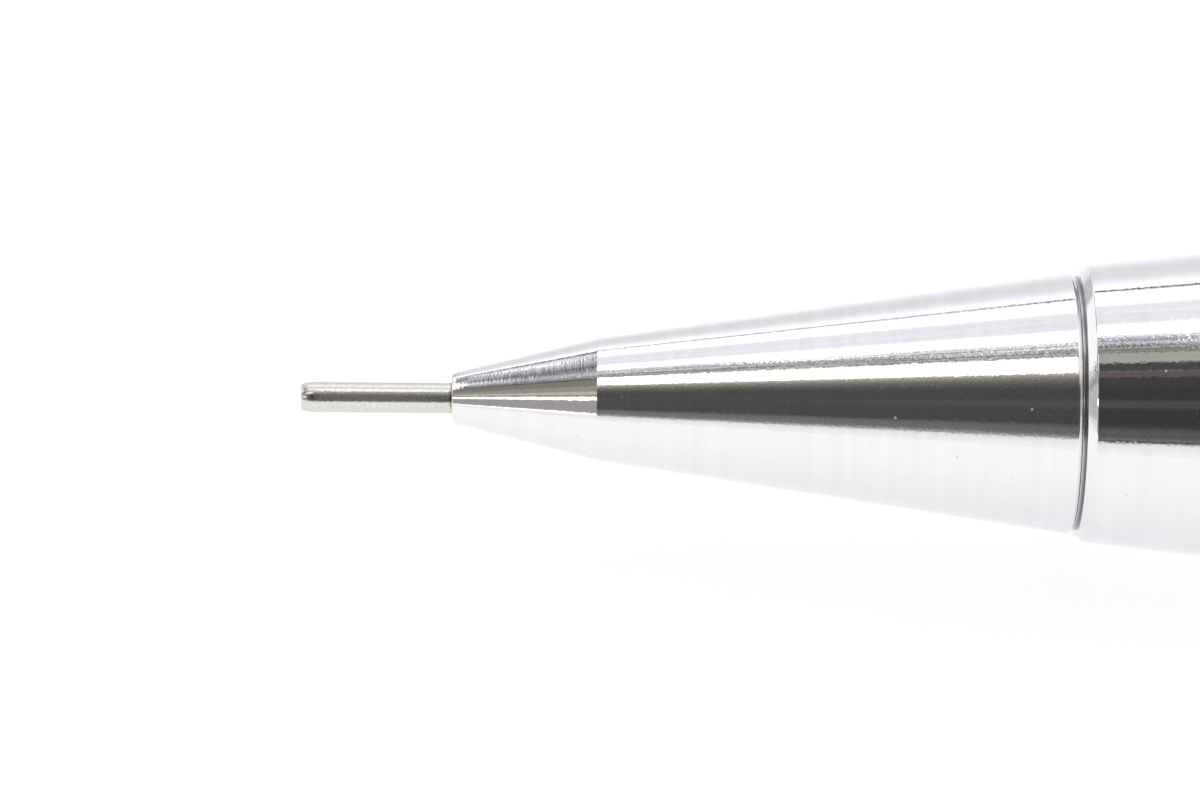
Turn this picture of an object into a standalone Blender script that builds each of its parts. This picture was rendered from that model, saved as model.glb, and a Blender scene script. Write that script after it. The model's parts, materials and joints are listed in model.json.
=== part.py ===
"""Drafting pencil with a push-button lead clutch, lying on a table.

Every piece is a separate solid. Stations are measured along the pencil's axis, from the mouth of the
guide sleeve (0) towards the push button. The pencil's own frame has +X along the axis towards the button
and +Z towards the pocket clip. The finished pencil lies along world X, rolled until its clip touches the
table at z = 0.
"""

import math

import bmesh
import bpy
from mathutils import Vector

MM = 0.001

# Fits: radial room between pieces that are pressed or screwed together, pieces that slide, and meeting faces
PRESS_ROOM = 0.04 * MM
SLIDE_ROOM = 0.06 * MM
FACE_ROOM = 0.05 * MM
EDGE_BREAK = 0.12 * MM

# Lead
LEAD_DIAMETER = 0.56 * MM
LEAD_LENGTH = 60 * MM
LEAD_SET_BACK = 0.5 * MM
LEAD_ROOM = 0.03 * MM
SPARE_LEADS = 3

# Travels of the push button and of the clutch ring
PUSH_TRAVEL = 3.2 * MM
RING_TRAVEL = 0.8 * MM

# Guide sleeve
SLEEVE_REACH = 4.0 * MM
SLEEVE_SEAT = 2.6 * MM
SLEEVE_WALL = 0.10 * MM
SLEEVE_ROUND = 0.09 * MM

# Nose cone: a steep tip, a break line and a longer body
NOSE_FACE_DIAMETER = 1.36 * MM
NOSE_TIP_LENGTH = 3.88 * MM
NOSE_BREAK_DIAMETER = 3.30 * MM
NOSE_BODY_LENGTH = 12.72 * MM
NOSE_BASE_DIAMETER = 7.04 * MM
NOSE_WALL = 0.45 * MM
NOSE_EDGE = 0.10 * MM
SEAM_GAP = 0.12 * MM
SEAM_DEPTH = 0.12 * MM

# Lead retainer, clutch and return spring
RETAINER_LENGTH = 1.6 * MM
RETAINER_DISH = 0.35 * MM
JAW_MARGIN = 0.4 * MM
JAW_ROOM = 0.12 * MM
CHUCK_BULB_LENGTH = 1.1 * MM
CHUCK_TAPER_LENGTH = 1.6 * MM
CHUCK_STEM_WALL = 0.45 * MM
CHUCK_SLIT_WIDTH = 0.2 * MM
CHUCK_SLIT_LENGTH = 9.0 * MM
CHUCK_JAWS = 3
RING_LENGTH = 1.8 * MM
RING_WALL = 0.62 * MM
SEAT_COLLAR = 1.0 * MM
SEAT_GUIDE = 2.2 * MM
SEAT_WALL = 0.3 * MM
SPIGOT_WALL = 0.45 * MM
SPRING_LENGTH = 12.0 * MM
SPRING_WIRE = 0.35 * MM
SPRING_TURNS = 12
SPRING_POINTS_PER_TURN = 9
SEAT_OVERHANG = 2.0 * MM
HOLDER_COLLAR = 0.8 * MM
HOLDER_PLUG = 4.0 * MM
HOLDER_FUNNEL_LIP = 0.25 * MM
CHUCK_SOCKET = 4.4 * MM

# Grip
GRIP_FACE_DIAMETER = 7.1 * MM
GRIP_CHAMFER_LENGTH = 0.23 * MM
GRIP_SHOULDER_DIAMETER = 7.46 * MM
GRIP_TAPER_LENGTH = 7.09 * MM
BODY_DIAMETER = 9.0 * MM
GRIP_LAND = 2.0 * MM
KNURL_LENGTH = 27.0 * MM
KNURL_DEPTH = 0.12 * MM
KNURL_RUN_OUT = 0.3 * MM
GRIP_TUBE_ROOM = 0.6 * MM
JOINT_SPIGOT_DIAMETER = 7.2 * MM
JOINT_SPIGOT_LENGTH = 9.5 * MM

# Lead grade indicator: a ring with a window turns over a marked drum
GRADE_RING_LENGTH = 7.0 * MM
GRADE_RING_WALL = 0.45 * MM
GRADE_END_ROOM = 0.1 * MM
GRADE_WINDOW_LENGTH = 2.6 * MM
GRADE_WINDOW_WIDTH = 3.4 * MM
GRADE_WINDOW_ANGLE = math.radians(60)

# Barrel and tail
BARREL_LENGTH = 48.0 * MM
NECK_DIAMETER = 7.4 * MM
NECK_THREAD = 4.4 * MM
TAIL_LENGTH = 7.4 * MM
TAIL_END_DIAMETER = 7.4 * MM
TAIL_TAPER_LENGTH = 2.4 * MM

# Pocket clip and its band
BAND_LENGTH = 5.0 * MM
BAND_POCKET_DEPTH = 0.3 * MM
CLIP_LENGTH = 38.0 * MM
CLIP_WIDTH = 3.4 * MM
CLIP_TIP_WIDTH = 2.7 * MM
CLIP_THICKNESS = 0.8 * MM
CLIP_GAP = 2.2 * MM
CLIP_BEND = 1.2 * MM
CLIP_DIP_LENGTH = 6.0 * MM
CLIP_FLICK_LENGTH = 2.4 * MM
CLIP_FLICK_RISE = 0.9 * MM
CLIP_EDGE = 0.15 * MM
CLIP_ROOT_ROOM = 0.1 * MM

# Push button, eraser and lead tube
CAP_REACH = 13.5 * MM
CAP_OVERLAP = 5.0 * MM
CAP_WALL = 0.45 * MM
CAP_CROWN = 1.1 * MM
CAP_ROUND = 0.6 * MM
CAP_GROOVES = 2
CAP_GROOVE_WIDTH = 0.5 * MM
CAP_GROOVE_PITCH = 1.1 * MM
CAP_GROOVE_DEPTH = 0.15 * MM
CAP_GROOVE_SET_BACK = 2.0 * MM
ERASER_DIAMETER = 4.4 * MM
ERASER_LENGTH = 8.5 * MM
ERASER_ROUND = 0.5 * MM
ERASER_ROOM = 0.6 * MM
FERRULE_WALL = 0.18 * MM
FERRULE_LENGTH = 4.0 * MM
FERRULE_FLANGE = 1.5 * MM
FERRULE_PLUG = 6.0 * MM
NEEDLE_DIAMETER = 0.4 * MM
NEEDLE_REACH = 17.0 * MM
TUBE_BORE_DIAMETER = 3.3 * MM
TUBE_WALL = 0.35 * MM

# Facets round the axis
BODY_SIDES = 40
INNER_SIDES = 24
WIRE_SIDES = 12
MERGE_DISTANCE = 1e-7
SHARP_ANGLE = math.radians(30)

# Stations from the sleeve's mouth to the seam
NOSE_FRONT = SLEEVE_REACH
NOSE_BREAK = NOSE_FRONT + NOSE_TIP_LENGTH
NOSE_REAR = NOSE_BREAK + NOSE_BODY_LENGTH
SLEEVE_REAR = NOSE_FRONT + SLEEVE_SEAT
RETAINER_FRONT = SLEEVE_REAR + FACE_ROOM
RETAINER_REAR = RETAINER_FRONT + RETAINER_LENGTH
JAW_ROOM_FRONT = RETAINER_REAR + FACE_ROOM
CHUCK_FRONT = JAW_ROOM_FRONT + PUSH_TRAVEL + JAW_MARGIN
RING_FRONT = CHUCK_FRONT + CHUCK_BULB_LENGTH
RING_STOP = RING_FRONT - RING_TRAVEL - FACE_ROOM
RING_REAR = RING_FRONT + RING_LENGTH
SEAT_FRONT = RING_REAR + FACE_ROOM
SPIGOT_FRONT = SEAT_FRONT + SEAT_COLLAR + FACE_ROOM
SPRING_FRONT = SEAT_FRONT + SEAT_GUIDE + FACE_ROOM
HOLDER_FRONT = SPRING_FRONT + SPRING_LENGTH + FACE_ROOM
SEAT_REAR = HOLDER_FRONT + SEAT_OVERHANG
HOLDER_COLLAR_FRONT = SEAT_REAR + PUSH_TRAVEL + FACE_ROOM
TUBE_FRONT = HOLDER_COLLAR_FRONT + HOLDER_COLLAR + FACE_ROOM
HOLDER_REAR = TUBE_FRONT + HOLDER_PLUG
CHUCK_REAR = HOLDER_FRONT + CHUCK_SOCKET - FACE_ROOM

# Stations from the seam to the push button
GRIP_FRONT = NOSE_REAR + SEAM_GAP
GRIP_SHOULDER = GRIP_FRONT + GRIP_CHAMFER_LENGTH
GRIP_FULL = GRIP_SHOULDER + GRIP_TAPER_LENGTH
KNURL_FRONT = GRIP_FULL + GRIP_LAND
KNURL_REAR = KNURL_FRONT + KNURL_LENGTH
GRIP_REAR = KNURL_REAR + GRIP_LAND
GRADE_FRONT = GRIP_REAR + GRADE_END_ROOM
GRADE_REAR = GRADE_FRONT + GRADE_RING_LENGTH
BARREL_FRONT = GRADE_REAR + GRADE_END_ROOM
SPIGOT_REAR = BARREL_FRONT + JOINT_SPIGOT_LENGTH
BARREL_SHOULDER = BARREL_FRONT + BARREL_LENGTH
BAND_FRONT = BARREL_SHOULDER + FACE_ROOM
BAND_REAR = BAND_FRONT + BAND_LENGTH
TAIL_FRONT = BAND_REAR + FACE_ROOM
NECK_REAR = TAIL_FRONT + NECK_THREAD
TAIL_REAR = TAIL_FRONT + TAIL_LENGTH
CAP_FRONT = TAIL_REAR - CAP_OVERLAP
CAP_REAR = TAIL_REAR + CAP_REACH
ERASER_REAR = CAP_REAR - CAP_CROWN - ERASER_ROOM
ERASER_FRONT = ERASER_REAR - ERASER_LENGTH
FLANGE_REAR = ERASER_FRONT - FACE_ROOM
FLANGE_FRONT = FLANGE_REAR - FERRULE_FLANGE
TUBE_REAR = FLANGE_FRONT - FACE_ROOM
PLUG_FRONT = TUBE_REAR - FERRULE_PLUG


def nose_radius(station):
    """Outer radius of the nose cone at a station."""
    face, middle, base = NOSE_FACE_DIAMETER / 2, NOSE_BREAK_DIAMETER / 2, NOSE_BASE_DIAMETER / 2
    if station < NOSE_BREAK:
        return face + (middle - face) * (station - NOSE_FRONT) / NOSE_TIP_LENGTH
    return middle + (base - middle) * (station - NOSE_BREAK) / NOSE_BODY_LENGTH


# Radii of the front end, worked inwards from the nose cone's outside and outwards from the lead
BODY_RADIUS = BODY_DIAMETER / 2
LEAD_RADIUS = LEAD_DIAMETER / 2
LEAD_BORE = LEAD_RADIUS + LEAD_ROOM
SLEEVE_RADIUS = LEAD_BORE + SLEEVE_WALL
RETAINER_POCKET = nose_radius(RETAINER_FRONT) - NOSE_WALL
JAW_CHAMBER = nose_radius(JAW_ROOM_FRONT) - NOSE_WALL
RING_CHAMBER = nose_radius(RING_STOP) - NOSE_WALL
NOSE_SOCKET = nose_radius(SEAT_FRONT) - NOSE_WALL
CHUCK_BULB = JAW_CHAMBER - JAW_ROOM
CHUCK_STEM = LEAD_BORE + CHUCK_STEM_WALL
RING_RADIUS = RING_CHAMBER - SLIDE_ROOM
NOSE_SPIGOT = NOSE_SOCKET - PRESS_ROOM
SEAM_RADIUS = NOSE_BASE_DIAMETER / 2 - NOSE_EDGE - SEAM_DEPTH
SEAT_POCKET = NOSE_SPIGOT - SPIGOT_WALL
SEAT_RADIUS = SEAT_POCKET - PRESS_ROOM
SPRING_CHAMBER = SEAT_RADIUS - SEAT_WALL
SPRING_RADIUS = (SPRING_CHAMBER + CHUCK_STEM) / 2
HOLDER_RADIUS = SPRING_CHAMBER - SLIDE_ROOM

# Radii of the rear end, worked outwards from the lead tube and from the eraser
TUBE_BORE = TUBE_BORE_DIAMETER / 2
TUBE_RADIUS = TUBE_BORE + TUBE_WALL
GRIP_BORE = TUBE_RADIUS + GRIP_TUBE_ROOM
JOINT_SPIGOT = JOINT_SPIGOT_DIAMETER / 2
DRUM_BORE = JOINT_SPIGOT + PRESS_ROOM
GRADE_BORE = BODY_RADIUS - GRADE_RING_WALL
DRUM_RADIUS = GRADE_BORE - SLIDE_ROOM
FERRULE_BORE = ERASER_DIAMETER / 2 + PRESS_ROOM
FERRULE_RADIUS = FERRULE_BORE + FERRULE_WALL
CAP_BORE = FERRULE_RADIUS + SLIDE_ROOM
CAP_RADIUS = CAP_BORE + CAP_WALL
BARREL_BORE = CAP_RADIUS + SLIDE_ROOM
NECK_RADIUS = NECK_DIAMETER / 2
BAND_BORE = NECK_RADIUS + PRESS_ROOM
NEEDLE_RADIUS = NEEDLE_DIAMETER / 2

# How the pencil lies: rolled about its axis until a corner of the clip meets the table
CLIP_TOP = BODY_RADIUS + CLIP_GAP + CLIP_THICKNESS
CLIP_CORNER = math.hypot(CLIP_TOP, CLIP_WIDTH / 2)
CLIP_FROM_DOWN = math.acos(BODY_RADIUS / CLIP_CORNER) + math.atan2(CLIP_WIDTH / 2, CLIP_TOP)
ROLL = math.pi - CLIP_FROM_DOWN
CLIP_SIDE_REACH = CLIP_TOP * math.sin(ROLL) + CLIP_WIDTH / 2 * abs(math.cos(ROLL))


def clear_scene():
    for obj in list(bpy.data.objects):
        bpy.data.objects.remove(obj)


def finish(name, colour, roughness, metallic):
    """A plain surface material."""
    material = bpy.data.materials.new(name)
    material.use_nodes = True
    shader = material.node_tree.nodes["Principled BSDF"]
    shader.inputs["Base Color"].default_value = (*colour, 1.0)
    shader.inputs["Roughness"].default_value = roughness
    shader.inputs["Metallic"].default_value = metallic
    material.diffuse_color = (*colour, 1.0)
    return material


def empty(name, parent=None, location=(0, 0, 0)):
    """A frame that pieces hang from."""
    obj = bpy.data.objects.new(name, None)
    bpy.context.scene.collection.objects.link(obj)
    obj.parent = parent
    obj.location = location
    obj.empty_display_size = BODY_DIAMETER
    return obj


def piece(name, bm, material, parent, location):
    """Turns a bmesh into a named, smooth-shaded object."""
    bmesh.ops.recalc_face_normals(bm, faces=bm.faces)
    mesh = bpy.data.meshes.new(name)
    bm.to_mesh(mesh)
    bm.free()
    mesh.shade_smooth()
    mesh.set_sharp_from_angle(angle=SHARP_ANGLE)
    if material:
        mesh.materials.append(material)
    obj = bpy.data.objects.new(name, mesh)
    bpy.context.scene.collection.objects.link(obj)
    obj.parent = parent
    obj.location = location
    return obj


def turned(name, outline, material, parent, sides=BODY_SIDES, off_axis=(0, 0)):
    """A solid of revolution: the outline is a loop of (station, radius) points round the section.

    Its origin is on its own axis, at its front station. off_axis moves that axis sideways.
    """
    front = min(station for station, _ in outline)
    bm = bmesh.new()
    loop = [bm.verts.new((station - front, 0, radius)) for station, radius in outline]
    for start, end in zip(loop, loop[1:] + loop[:1]):
        if start.co.z > 0 or end.co.z > 0:
            bm.edges.new((start, end))
    bmesh.ops.spin(
        bm, geom=bm.verts[:] + bm.edges[:], cent=(0, 0, 0), axis=(1, 0, 0), angle=math.tau, steps=sides, use_merge=True
    )
    bmesh.ops.remove_doubles(bm, verts=bm.verts, dist=MERGE_DISTANCE)
    return piece(name, bm, material, parent, (front, *off_axis))


def cutter(name, bm, parent, location):
    """A hidden helper that a Boolean takes away."""
    obj = piece(name, bm, None, parent, location)
    obj.hide_render = True
    obj.display_type = "WIRE"
    return obj


def block(name, size, parent, location, turn=0.0):
    """A box cutter centred on its location, turned about the pencil's axis."""
    bm = bmesh.new()
    bmesh.ops.create_cube(bm, size=1.0)
    bmesh.ops.scale(bm, vec=size, verts=bm.verts)
    obj = cutter(name, bm, parent, location)
    obj.rotation_euler.x = turn
    return obj


def star_prism(name, arms, half_width, reach, length, parent, location):
    """A cutter with flat arms that meet on the axis, for the slits of a collet."""
    points = []
    hub = half_width / math.sin(math.pi / arms)
    for arm in range(arms):
        angle = math.tau * arm / arms
        along = Vector((0, math.cos(angle), math.sin(angle)))
        across = Vector((0, -math.sin(angle), math.cos(angle)))
        between = angle + math.pi / arms
        points.append(along * reach - across * half_width)
        points.append(along * reach + across * half_width)
        points.append(Vector((0, math.cos(between), math.sin(between))) * hub)
    bm = bmesh.new()
    face = bm.faces.new([bm.verts.new(point) for point in points])
    swept = bmesh.ops.extrude_face_region(bm, geom=[face])["geom"]
    ends = [item for item in swept if isinstance(item, bmesh.types.BMVert)]
    bmesh.ops.translate(bm, vec=(length, 0, 0), verts=ends)
    return cutter(name, bm, parent, location)


def cut(obj, tool):
    boolean = obj.modifiers.new(tool.name, "BOOLEAN")
    boolean.operation = "DIFFERENCE"
    boolean.object = tool


def quarter_round(station, radius, size, steps=3):
    """Points that round the outer rear edge at (station, radius)."""
    centre = (station - size, radius - size)
    angles = [math.pi / 2 * step / steps for step in range(steps + 1)]
    return [(centre[0] + size * math.sin(a), centre[1] + size * math.cos(a)) for a in angles]


def mirrored(points, station):
    """The same points mirrored about a station and in the opposite order, for a front edge."""
    return [(2 * station - along, radius) for along, radius in reversed(points)]


def guide_sleeve(material, parent):
    mouth = mirrored(quarter_round(0, SLEEVE_RADIUS, SLEEVE_ROUND), 0)
    outline = [
        (0, LEAD_BORE),
        *mouth,
        (SLEEVE_REAR, SLEEVE_RADIUS),
        (SLEEVE_REAR, LEAD_BORE),
    ]
    return turned("lead_sleeve", outline, material, parent, INNER_SIDES)


def nose_cone(material, parent):
    base = NOSE_BASE_DIAMETER / 2
    sleeve_hole = SLEEVE_RADIUS + PRESS_ROOM
    outline = [
        (NOSE_FRONT, sleeve_hole),
        (NOSE_FRONT, nose_radius(NOSE_FRONT)),
        (NOSE_BREAK, nose_radius(NOSE_BREAK)),
        (NOSE_REAR - NOSE_EDGE, nose_radius(NOSE_REAR - NOSE_EDGE)),
        (NOSE_REAR, base - NOSE_EDGE),
        (NOSE_REAR, NOSE_SOCKET),
        (SEAT_FRONT - FACE_ROOM / 2, NOSE_SOCKET),
        (SEAT_FRONT - FACE_ROOM / 2, RING_CHAMBER),
        (RING_STOP, RING_CHAMBER),
        (RING_STOP, JAW_CHAMBER),
        (JAW_ROOM_FRONT, JAW_CHAMBER),
        (JAW_ROOM_FRONT, RETAINER_POCKET),
        (SLEEVE_REAR + FACE_ROOM / 2, RETAINER_POCKET),
        (SLEEVE_REAR + FACE_ROOM / 2, sleeve_hole),
    ]
    return turned("nose_cone", outline, material, parent)


def lead_retainer(material, parent):
    """The rubber bush that keeps the lead from sliding back."""
    radius = RETAINER_POCKET - PRESS_ROOM
    outline = [
        (RETAINER_FRONT, LEAD_BORE),
        (RETAINER_FRONT, radius),
        (RETAINER_REAR, radius),
        (RETAINER_REAR, (radius + LEAD_BORE) / 2),
        (RETAINER_REAR - RETAINER_DISH, LEAD_BORE),
    ]
    return turned("lead_retainer", outline, material, parent, INNER_SIDES)


def chuck(material, parent):
    """The collet: a bulb that tapers back to a stem, slit into jaws."""
    taper_end = RING_FRONT - CHUCK_BULB_LENGTH / 2 + CHUCK_TAPER_LENGTH
    lead_in = CHUCK_BULB - CHUCK_BULB_LENGTH / 4
    outline = [
        (CHUCK_FRONT, LEAD_BORE),
        (CHUCK_FRONT, lead_in),
        (CHUCK_FRONT + CHUCK_BULB_LENGTH / 4, CHUCK_BULB),
        (CHUCK_FRONT + CHUCK_BULB_LENGTH / 2, CHUCK_BULB),
        (taper_end, CHUCK_STEM),
        (CHUCK_REAR, CHUCK_STEM),
        (CHUCK_REAR, LEAD_BORE),
    ]
    obj = turned("chuck", outline, material, parent, INNER_SIDES)
    overrun = CHUCK_SLIT_WIDTH
    slits = star_prism(
        "chuck_slits",
        CHUCK_JAWS,
        CHUCK_SLIT_WIDTH / 2,
        CHUCK_BULB + overrun,
        CHUCK_SLIT_LENGTH + overrun,
        parent,
        (CHUCK_FRONT - overrun, 0, 0),
    )
    cut(obj, slits)
    return obj


def clutch_ring(material, parent):
    bore = RING_RADIUS - RING_WALL
    outline = [
        (RING_FRONT, bore),
        (RING_FRONT, RING_RADIUS - EDGE_BREAK),
        (RING_FRONT + EDGE_BREAK, RING_RADIUS),
        (RING_REAR - EDGE_BREAK, RING_RADIUS),
        (RING_REAR, RING_RADIUS - EDGE_BREAK),
        (RING_REAR, bore),
    ]
    return turned("clutch_ring", outline, material, parent, INNER_SIDES)


def clutch_seat(material, parent):
    """The sleeve that stops the clutch ring and houses the return spring."""
    guide = CHUCK_STEM + SLIDE_ROOM
    collar_rear = SEAT_FRONT + SEAT_COLLAR
    shoulder = SEAT_FRONT + SEAT_GUIDE
    outline = [
        (SEAT_FRONT, guide),
        (SEAT_FRONT, NOSE_SPIGOT),
        (collar_rear, NOSE_SPIGOT),
        (collar_rear, SEAT_RADIUS),
        (SEAT_REAR, SEAT_RADIUS),
        (SEAT_REAR, SPRING_CHAMBER),
        (shoulder, SPRING_CHAMBER),
        (shoulder, guide),
    ]
    return turned("clutch_seat", outline, material, parent, INNER_SIDES)


def return_spring(material, parent):
    """A helical wire between the seat's shoulder and the chuck holder."""
    points = []
    wire = SPRING_WIRE / 2
    rise = SPRING_LENGTH - SPRING_WIRE
    count = SPRING_TURNS * SPRING_POINTS_PER_TURN
    for step in range(count + 1):
        angle = math.tau * step / SPRING_POINTS_PER_TURN
        along = SPRING_FRONT + wire + rise * step / count
        points.append(Vector((along, SPRING_RADIUS * math.sin(angle), SPRING_RADIUS * math.cos(angle))))
    curve = bpy.data.curves.new("return_spring", "CURVE")
    curve.dimensions = "3D"
    curve.bevel_depth = wire
    curve.bevel_resolution = 1
    curve.use_fill_caps = True
    spline = curve.splines.new("POLY")
    spline.points.add(len(points) - 1)
    for target, point in zip(spline.points, points):
        target.co = (*point, 1)
    curve.materials.append(material)
    obj = bpy.data.objects.new("return_spring", curve)
    bpy.context.scene.collection.objects.link(obj)
    obj.parent = parent
    gaps = [
        (first - second).length - SPRING_WIRE
        for index, first in enumerate(points)
        for second in points[index + SPRING_POINTS_PER_TURN // 2 :]
    ]
    print(f"return_spring: least gap between turns {min(gaps) / MM:.2f} mm")
    return obj


def chuck_holder(material, parent):
    """Joins the chuck's stem to the lead tube, with a funnel that leads the lead into the chuck."""
    socket_rear = HOLDER_FRONT + CHUCK_SOCKET
    funnel_lip = TUBE_BORE - PRESS_ROOM - HOLDER_FUNNEL_LIP
    outline = [
        (HOLDER_FRONT, CHUCK_STEM + PRESS_ROOM),
        (HOLDER_FRONT, HOLDER_RADIUS),
        (HOLDER_COLLAR_FRONT, HOLDER_RADIUS),
        (HOLDER_COLLAR_FRONT, TUBE_RADIUS),
        (HOLDER_COLLAR_FRONT + HOLDER_COLLAR, TUBE_RADIUS),
        (HOLDER_COLLAR_FRONT + HOLDER_COLLAR, TUBE_BORE - PRESS_ROOM),
        (HOLDER_REAR, TUBE_BORE - PRESS_ROOM),
        (HOLDER_REAR, funnel_lip),
        (socket_rear, LEAD_BORE),
        (socket_rear, CHUCK_STEM + PRESS_ROOM),
    ]
    return turned("chuck_holder", outline, material, parent, INNER_SIDES)


def lead_tube(material, parent):
    outline = [
        (TUBE_FRONT, TUBE_BORE),
        (TUBE_FRONT, TUBE_RADIUS),
        (TUBE_REAR, TUBE_RADIUS),
        (TUBE_REAR, TUBE_BORE),
    ]
    return turned("lead_tube", outline, material, parent, INNER_SIDES)


def rod(name, front, rear, radius, material, parent, off_axis=(0, 0)):
    outline = [(front, 0), (front, radius), (rear, radius), (rear, 0)]
    return turned(name, outline, material, parent, WIRE_SIDES, off_axis)


def spare_leads(material, parent):
    """Leads that lie side by side on the lowest part of the tube."""
    lie = TUBE_BORE * math.cos(math.pi / INNER_SIDES) - LEAD_RADIUS - LEAD_ROOM
    step = 2 * math.asin((LEAD_RADIUS + LEAD_ROOM) / lie)
    front = HOLDER_REAR + HOLDER_PLUG
    for index in range(SPARE_LEADS):
        angle = CLIP_FROM_DOWN + (index - (SPARE_LEADS - 1) / 2) * step
        sideways = (lie * math.sin(angle), lie * math.cos(angle))
        rod(f"spare_lead_{index + 1}", front, front + LEAD_LENGTH, LEAD_RADIUS, material, parent, sideways)


def grip(material, parent):
    """The front barrel: spigot, seam groove, chamfered face, taper, knurled band and rear joint spigot."""
    seat_bore_rear = SEAT_REAR - SEAT_OVERHANG / 2
    bore_step = GRIP_BORE - SEAT_POCKET
    knurl = BODY_RADIUS - KNURL_DEPTH
    outline = [
        (SPIGOT_FRONT, SEAT_POCKET),
        (SPIGOT_FRONT, NOSE_SPIGOT - EDGE_BREAK),
        (SPIGOT_FRONT + EDGE_BREAK, NOSE_SPIGOT),
        (NOSE_REAR + FACE_ROOM, NOSE_SPIGOT),
        (NOSE_REAR + FACE_ROOM, SEAM_RADIUS),
        (GRIP_FRONT, SEAM_RADIUS),
        (GRIP_FRONT, GRIP_FACE_DIAMETER / 2),
        (GRIP_SHOULDER, GRIP_SHOULDER_DIAMETER / 2),
        (GRIP_FULL, BODY_RADIUS),
        (KNURL_FRONT, BODY_RADIUS),
        (KNURL_FRONT + KNURL_RUN_OUT, knurl),
        (KNURL_REAR - KNURL_RUN_OUT, knurl),
        (KNURL_REAR, BODY_RADIUS),
        (GRIP_REAR - EDGE_BREAK, BODY_RADIUS),
        (GRIP_REAR, BODY_RADIUS - EDGE_BREAK),
        (GRIP_REAR, JOINT_SPIGOT),
        (SPIGOT_REAR - EDGE_BREAK, JOINT_SPIGOT),
        (SPIGOT_REAR, JOINT_SPIGOT - EDGE_BREAK),
        (SPIGOT_REAR, GRIP_BORE),
        (seat_bore_rear, GRIP_BORE),
        (seat_bore_rear - bore_step, SEAT_POCKET),
    ]
    return turned("grip", outline, material, parent)


def grade_drum(material, parent):
    """The marked sleeve under the grade ring."""
    outline = [
        (GRADE_FRONT, DRUM_BORE),
        (GRADE_FRONT, DRUM_RADIUS),
        (GRADE_REAR, DRUM_RADIUS),
        (GRADE_REAR, DRUM_BORE),
    ]
    return turned("grade_drum", outline, material, parent)


def grade_ring(material, parent):
    outline = [
        (GRADE_FRONT, GRADE_BORE),
        (GRADE_FRONT, BODY_RADIUS - EDGE_BREAK),
        (GRADE_FRONT + EDGE_BREAK, BODY_RADIUS),
        (GRADE_REAR - EDGE_BREAK, BODY_RADIUS),
        (GRADE_REAR, BODY_RADIUS - EDGE_BREAK),
        (GRADE_REAR, GRADE_BORE),
    ]
    obj = turned("grade_ring", outline, material, parent)
    turn = -GRADE_WINDOW_ANGLE
    middle = (GRADE_FRONT + GRADE_REAR) / 2
    reach = BODY_RADIUS + GRADE_RING_WALL - DRUM_RADIUS / 2
    height = DRUM_RADIUS / 2 + reach / 2
    place = (middle, -height * math.sin(turn), height * math.cos(turn))
    size = (GRADE_WINDOW_LENGTH, GRADE_WINDOW_WIDTH, reach)
    cut(obj, block("grade_window", size, parent, place, turn))
    return obj


def barrel(material, parent):
    socket = JOINT_SPIGOT + PRESS_ROOM
    socket_rear = SPIGOT_REAR + FACE_ROOM
    outline = [
        (BARREL_FRONT, socket),
        (BARREL_FRONT, BODY_RADIUS - EDGE_BREAK),
        (BARREL_FRONT + EDGE_BREAK, BODY_RADIUS),
        (BARREL_SHOULDER - EDGE_BREAK, BODY_RADIUS),
        (BARREL_SHOULDER, BODY_RADIUS - EDGE_BREAK),
        (BARREL_SHOULDER, NECK_RADIUS),
        (NECK_REAR - EDGE_BREAK, NECK_RADIUS),
        (NECK_REAR, NECK_RADIUS - EDGE_BREAK),
        (NECK_REAR, BARREL_BORE),
        (socket_rear, BARREL_BORE),
        (socket_rear, socket),
    ]
    return turned("barrel", outline, material, parent)


def clip_band(material, parent):
    """The ring that carries the clip, with a flat pocket for the clip's foot."""
    outline = [
        (BAND_FRONT, BAND_BORE),
        (BAND_FRONT, BODY_RADIUS - EDGE_BREAK),
        (BAND_FRONT + EDGE_BREAK, BODY_RADIUS),
        (BAND_REAR - EDGE_BREAK, BODY_RADIUS),
        (BAND_REAR, BODY_RADIUS - EDGE_BREAK),
        (BAND_REAR, BAND_BORE),
    ]
    obj = turned("clip_band", outline, material, parent)
    pocket = (
        CLIP_THICKNESS + 2 * CLIP_ROOT_ROOM,
        CLIP_WIDTH + 2 * CLIP_ROOT_ROOM,
        2 * BAND_POCKET_DEPTH,
    )
    cut(obj, block("clip_pocket", pocket, parent, ((BAND_FRONT + BAND_REAR) / 2, 0, BODY_RADIUS)))
    return obj


def clip_line():
    """The clip's centre line as (forward of the foot, height above the axis, width) points."""
    foot = BODY_RADIUS - BAND_POCKET_DEPTH + CLIP_ROOT_ROOM
    blade = BODY_RADIUS + CLIP_GAP + CLIP_THICKNESS / 2
    pad = BODY_RADIUS + FACE_ROOM + CLIP_THICKNESS / 2
    pad_at = CLIP_LENGTH - CLIP_FLICK_LENGTH
    dip_at = pad_at - CLIP_DIP_LENGTH
    bend_steps, dip_steps, flick_steps = 5, 8, 4
    line = [(0, foot)]
    for step in range(bend_steps + 1):
        angle = math.pi / 2 * step / bend_steps
        line.append((CLIP_BEND * (1 - math.cos(angle)), blade - CLIP_BEND * (1 - math.sin(angle))))
    for step in range(dip_steps + 1):
        share = step / dip_steps
        line.append((dip_at + CLIP_DIP_LENGTH * share, blade + (pad - blade) * (1 - math.cos(math.pi * share)) / 2))
    for step in range(1, flick_steps + 1):
        share = step / flick_steps
        line.append((pad_at + CLIP_FLICK_LENGTH * share, pad + CLIP_FLICK_RISE * share**2))
    return [(along, height, clip_width(along, pad_at)) for along, height in line]


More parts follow.
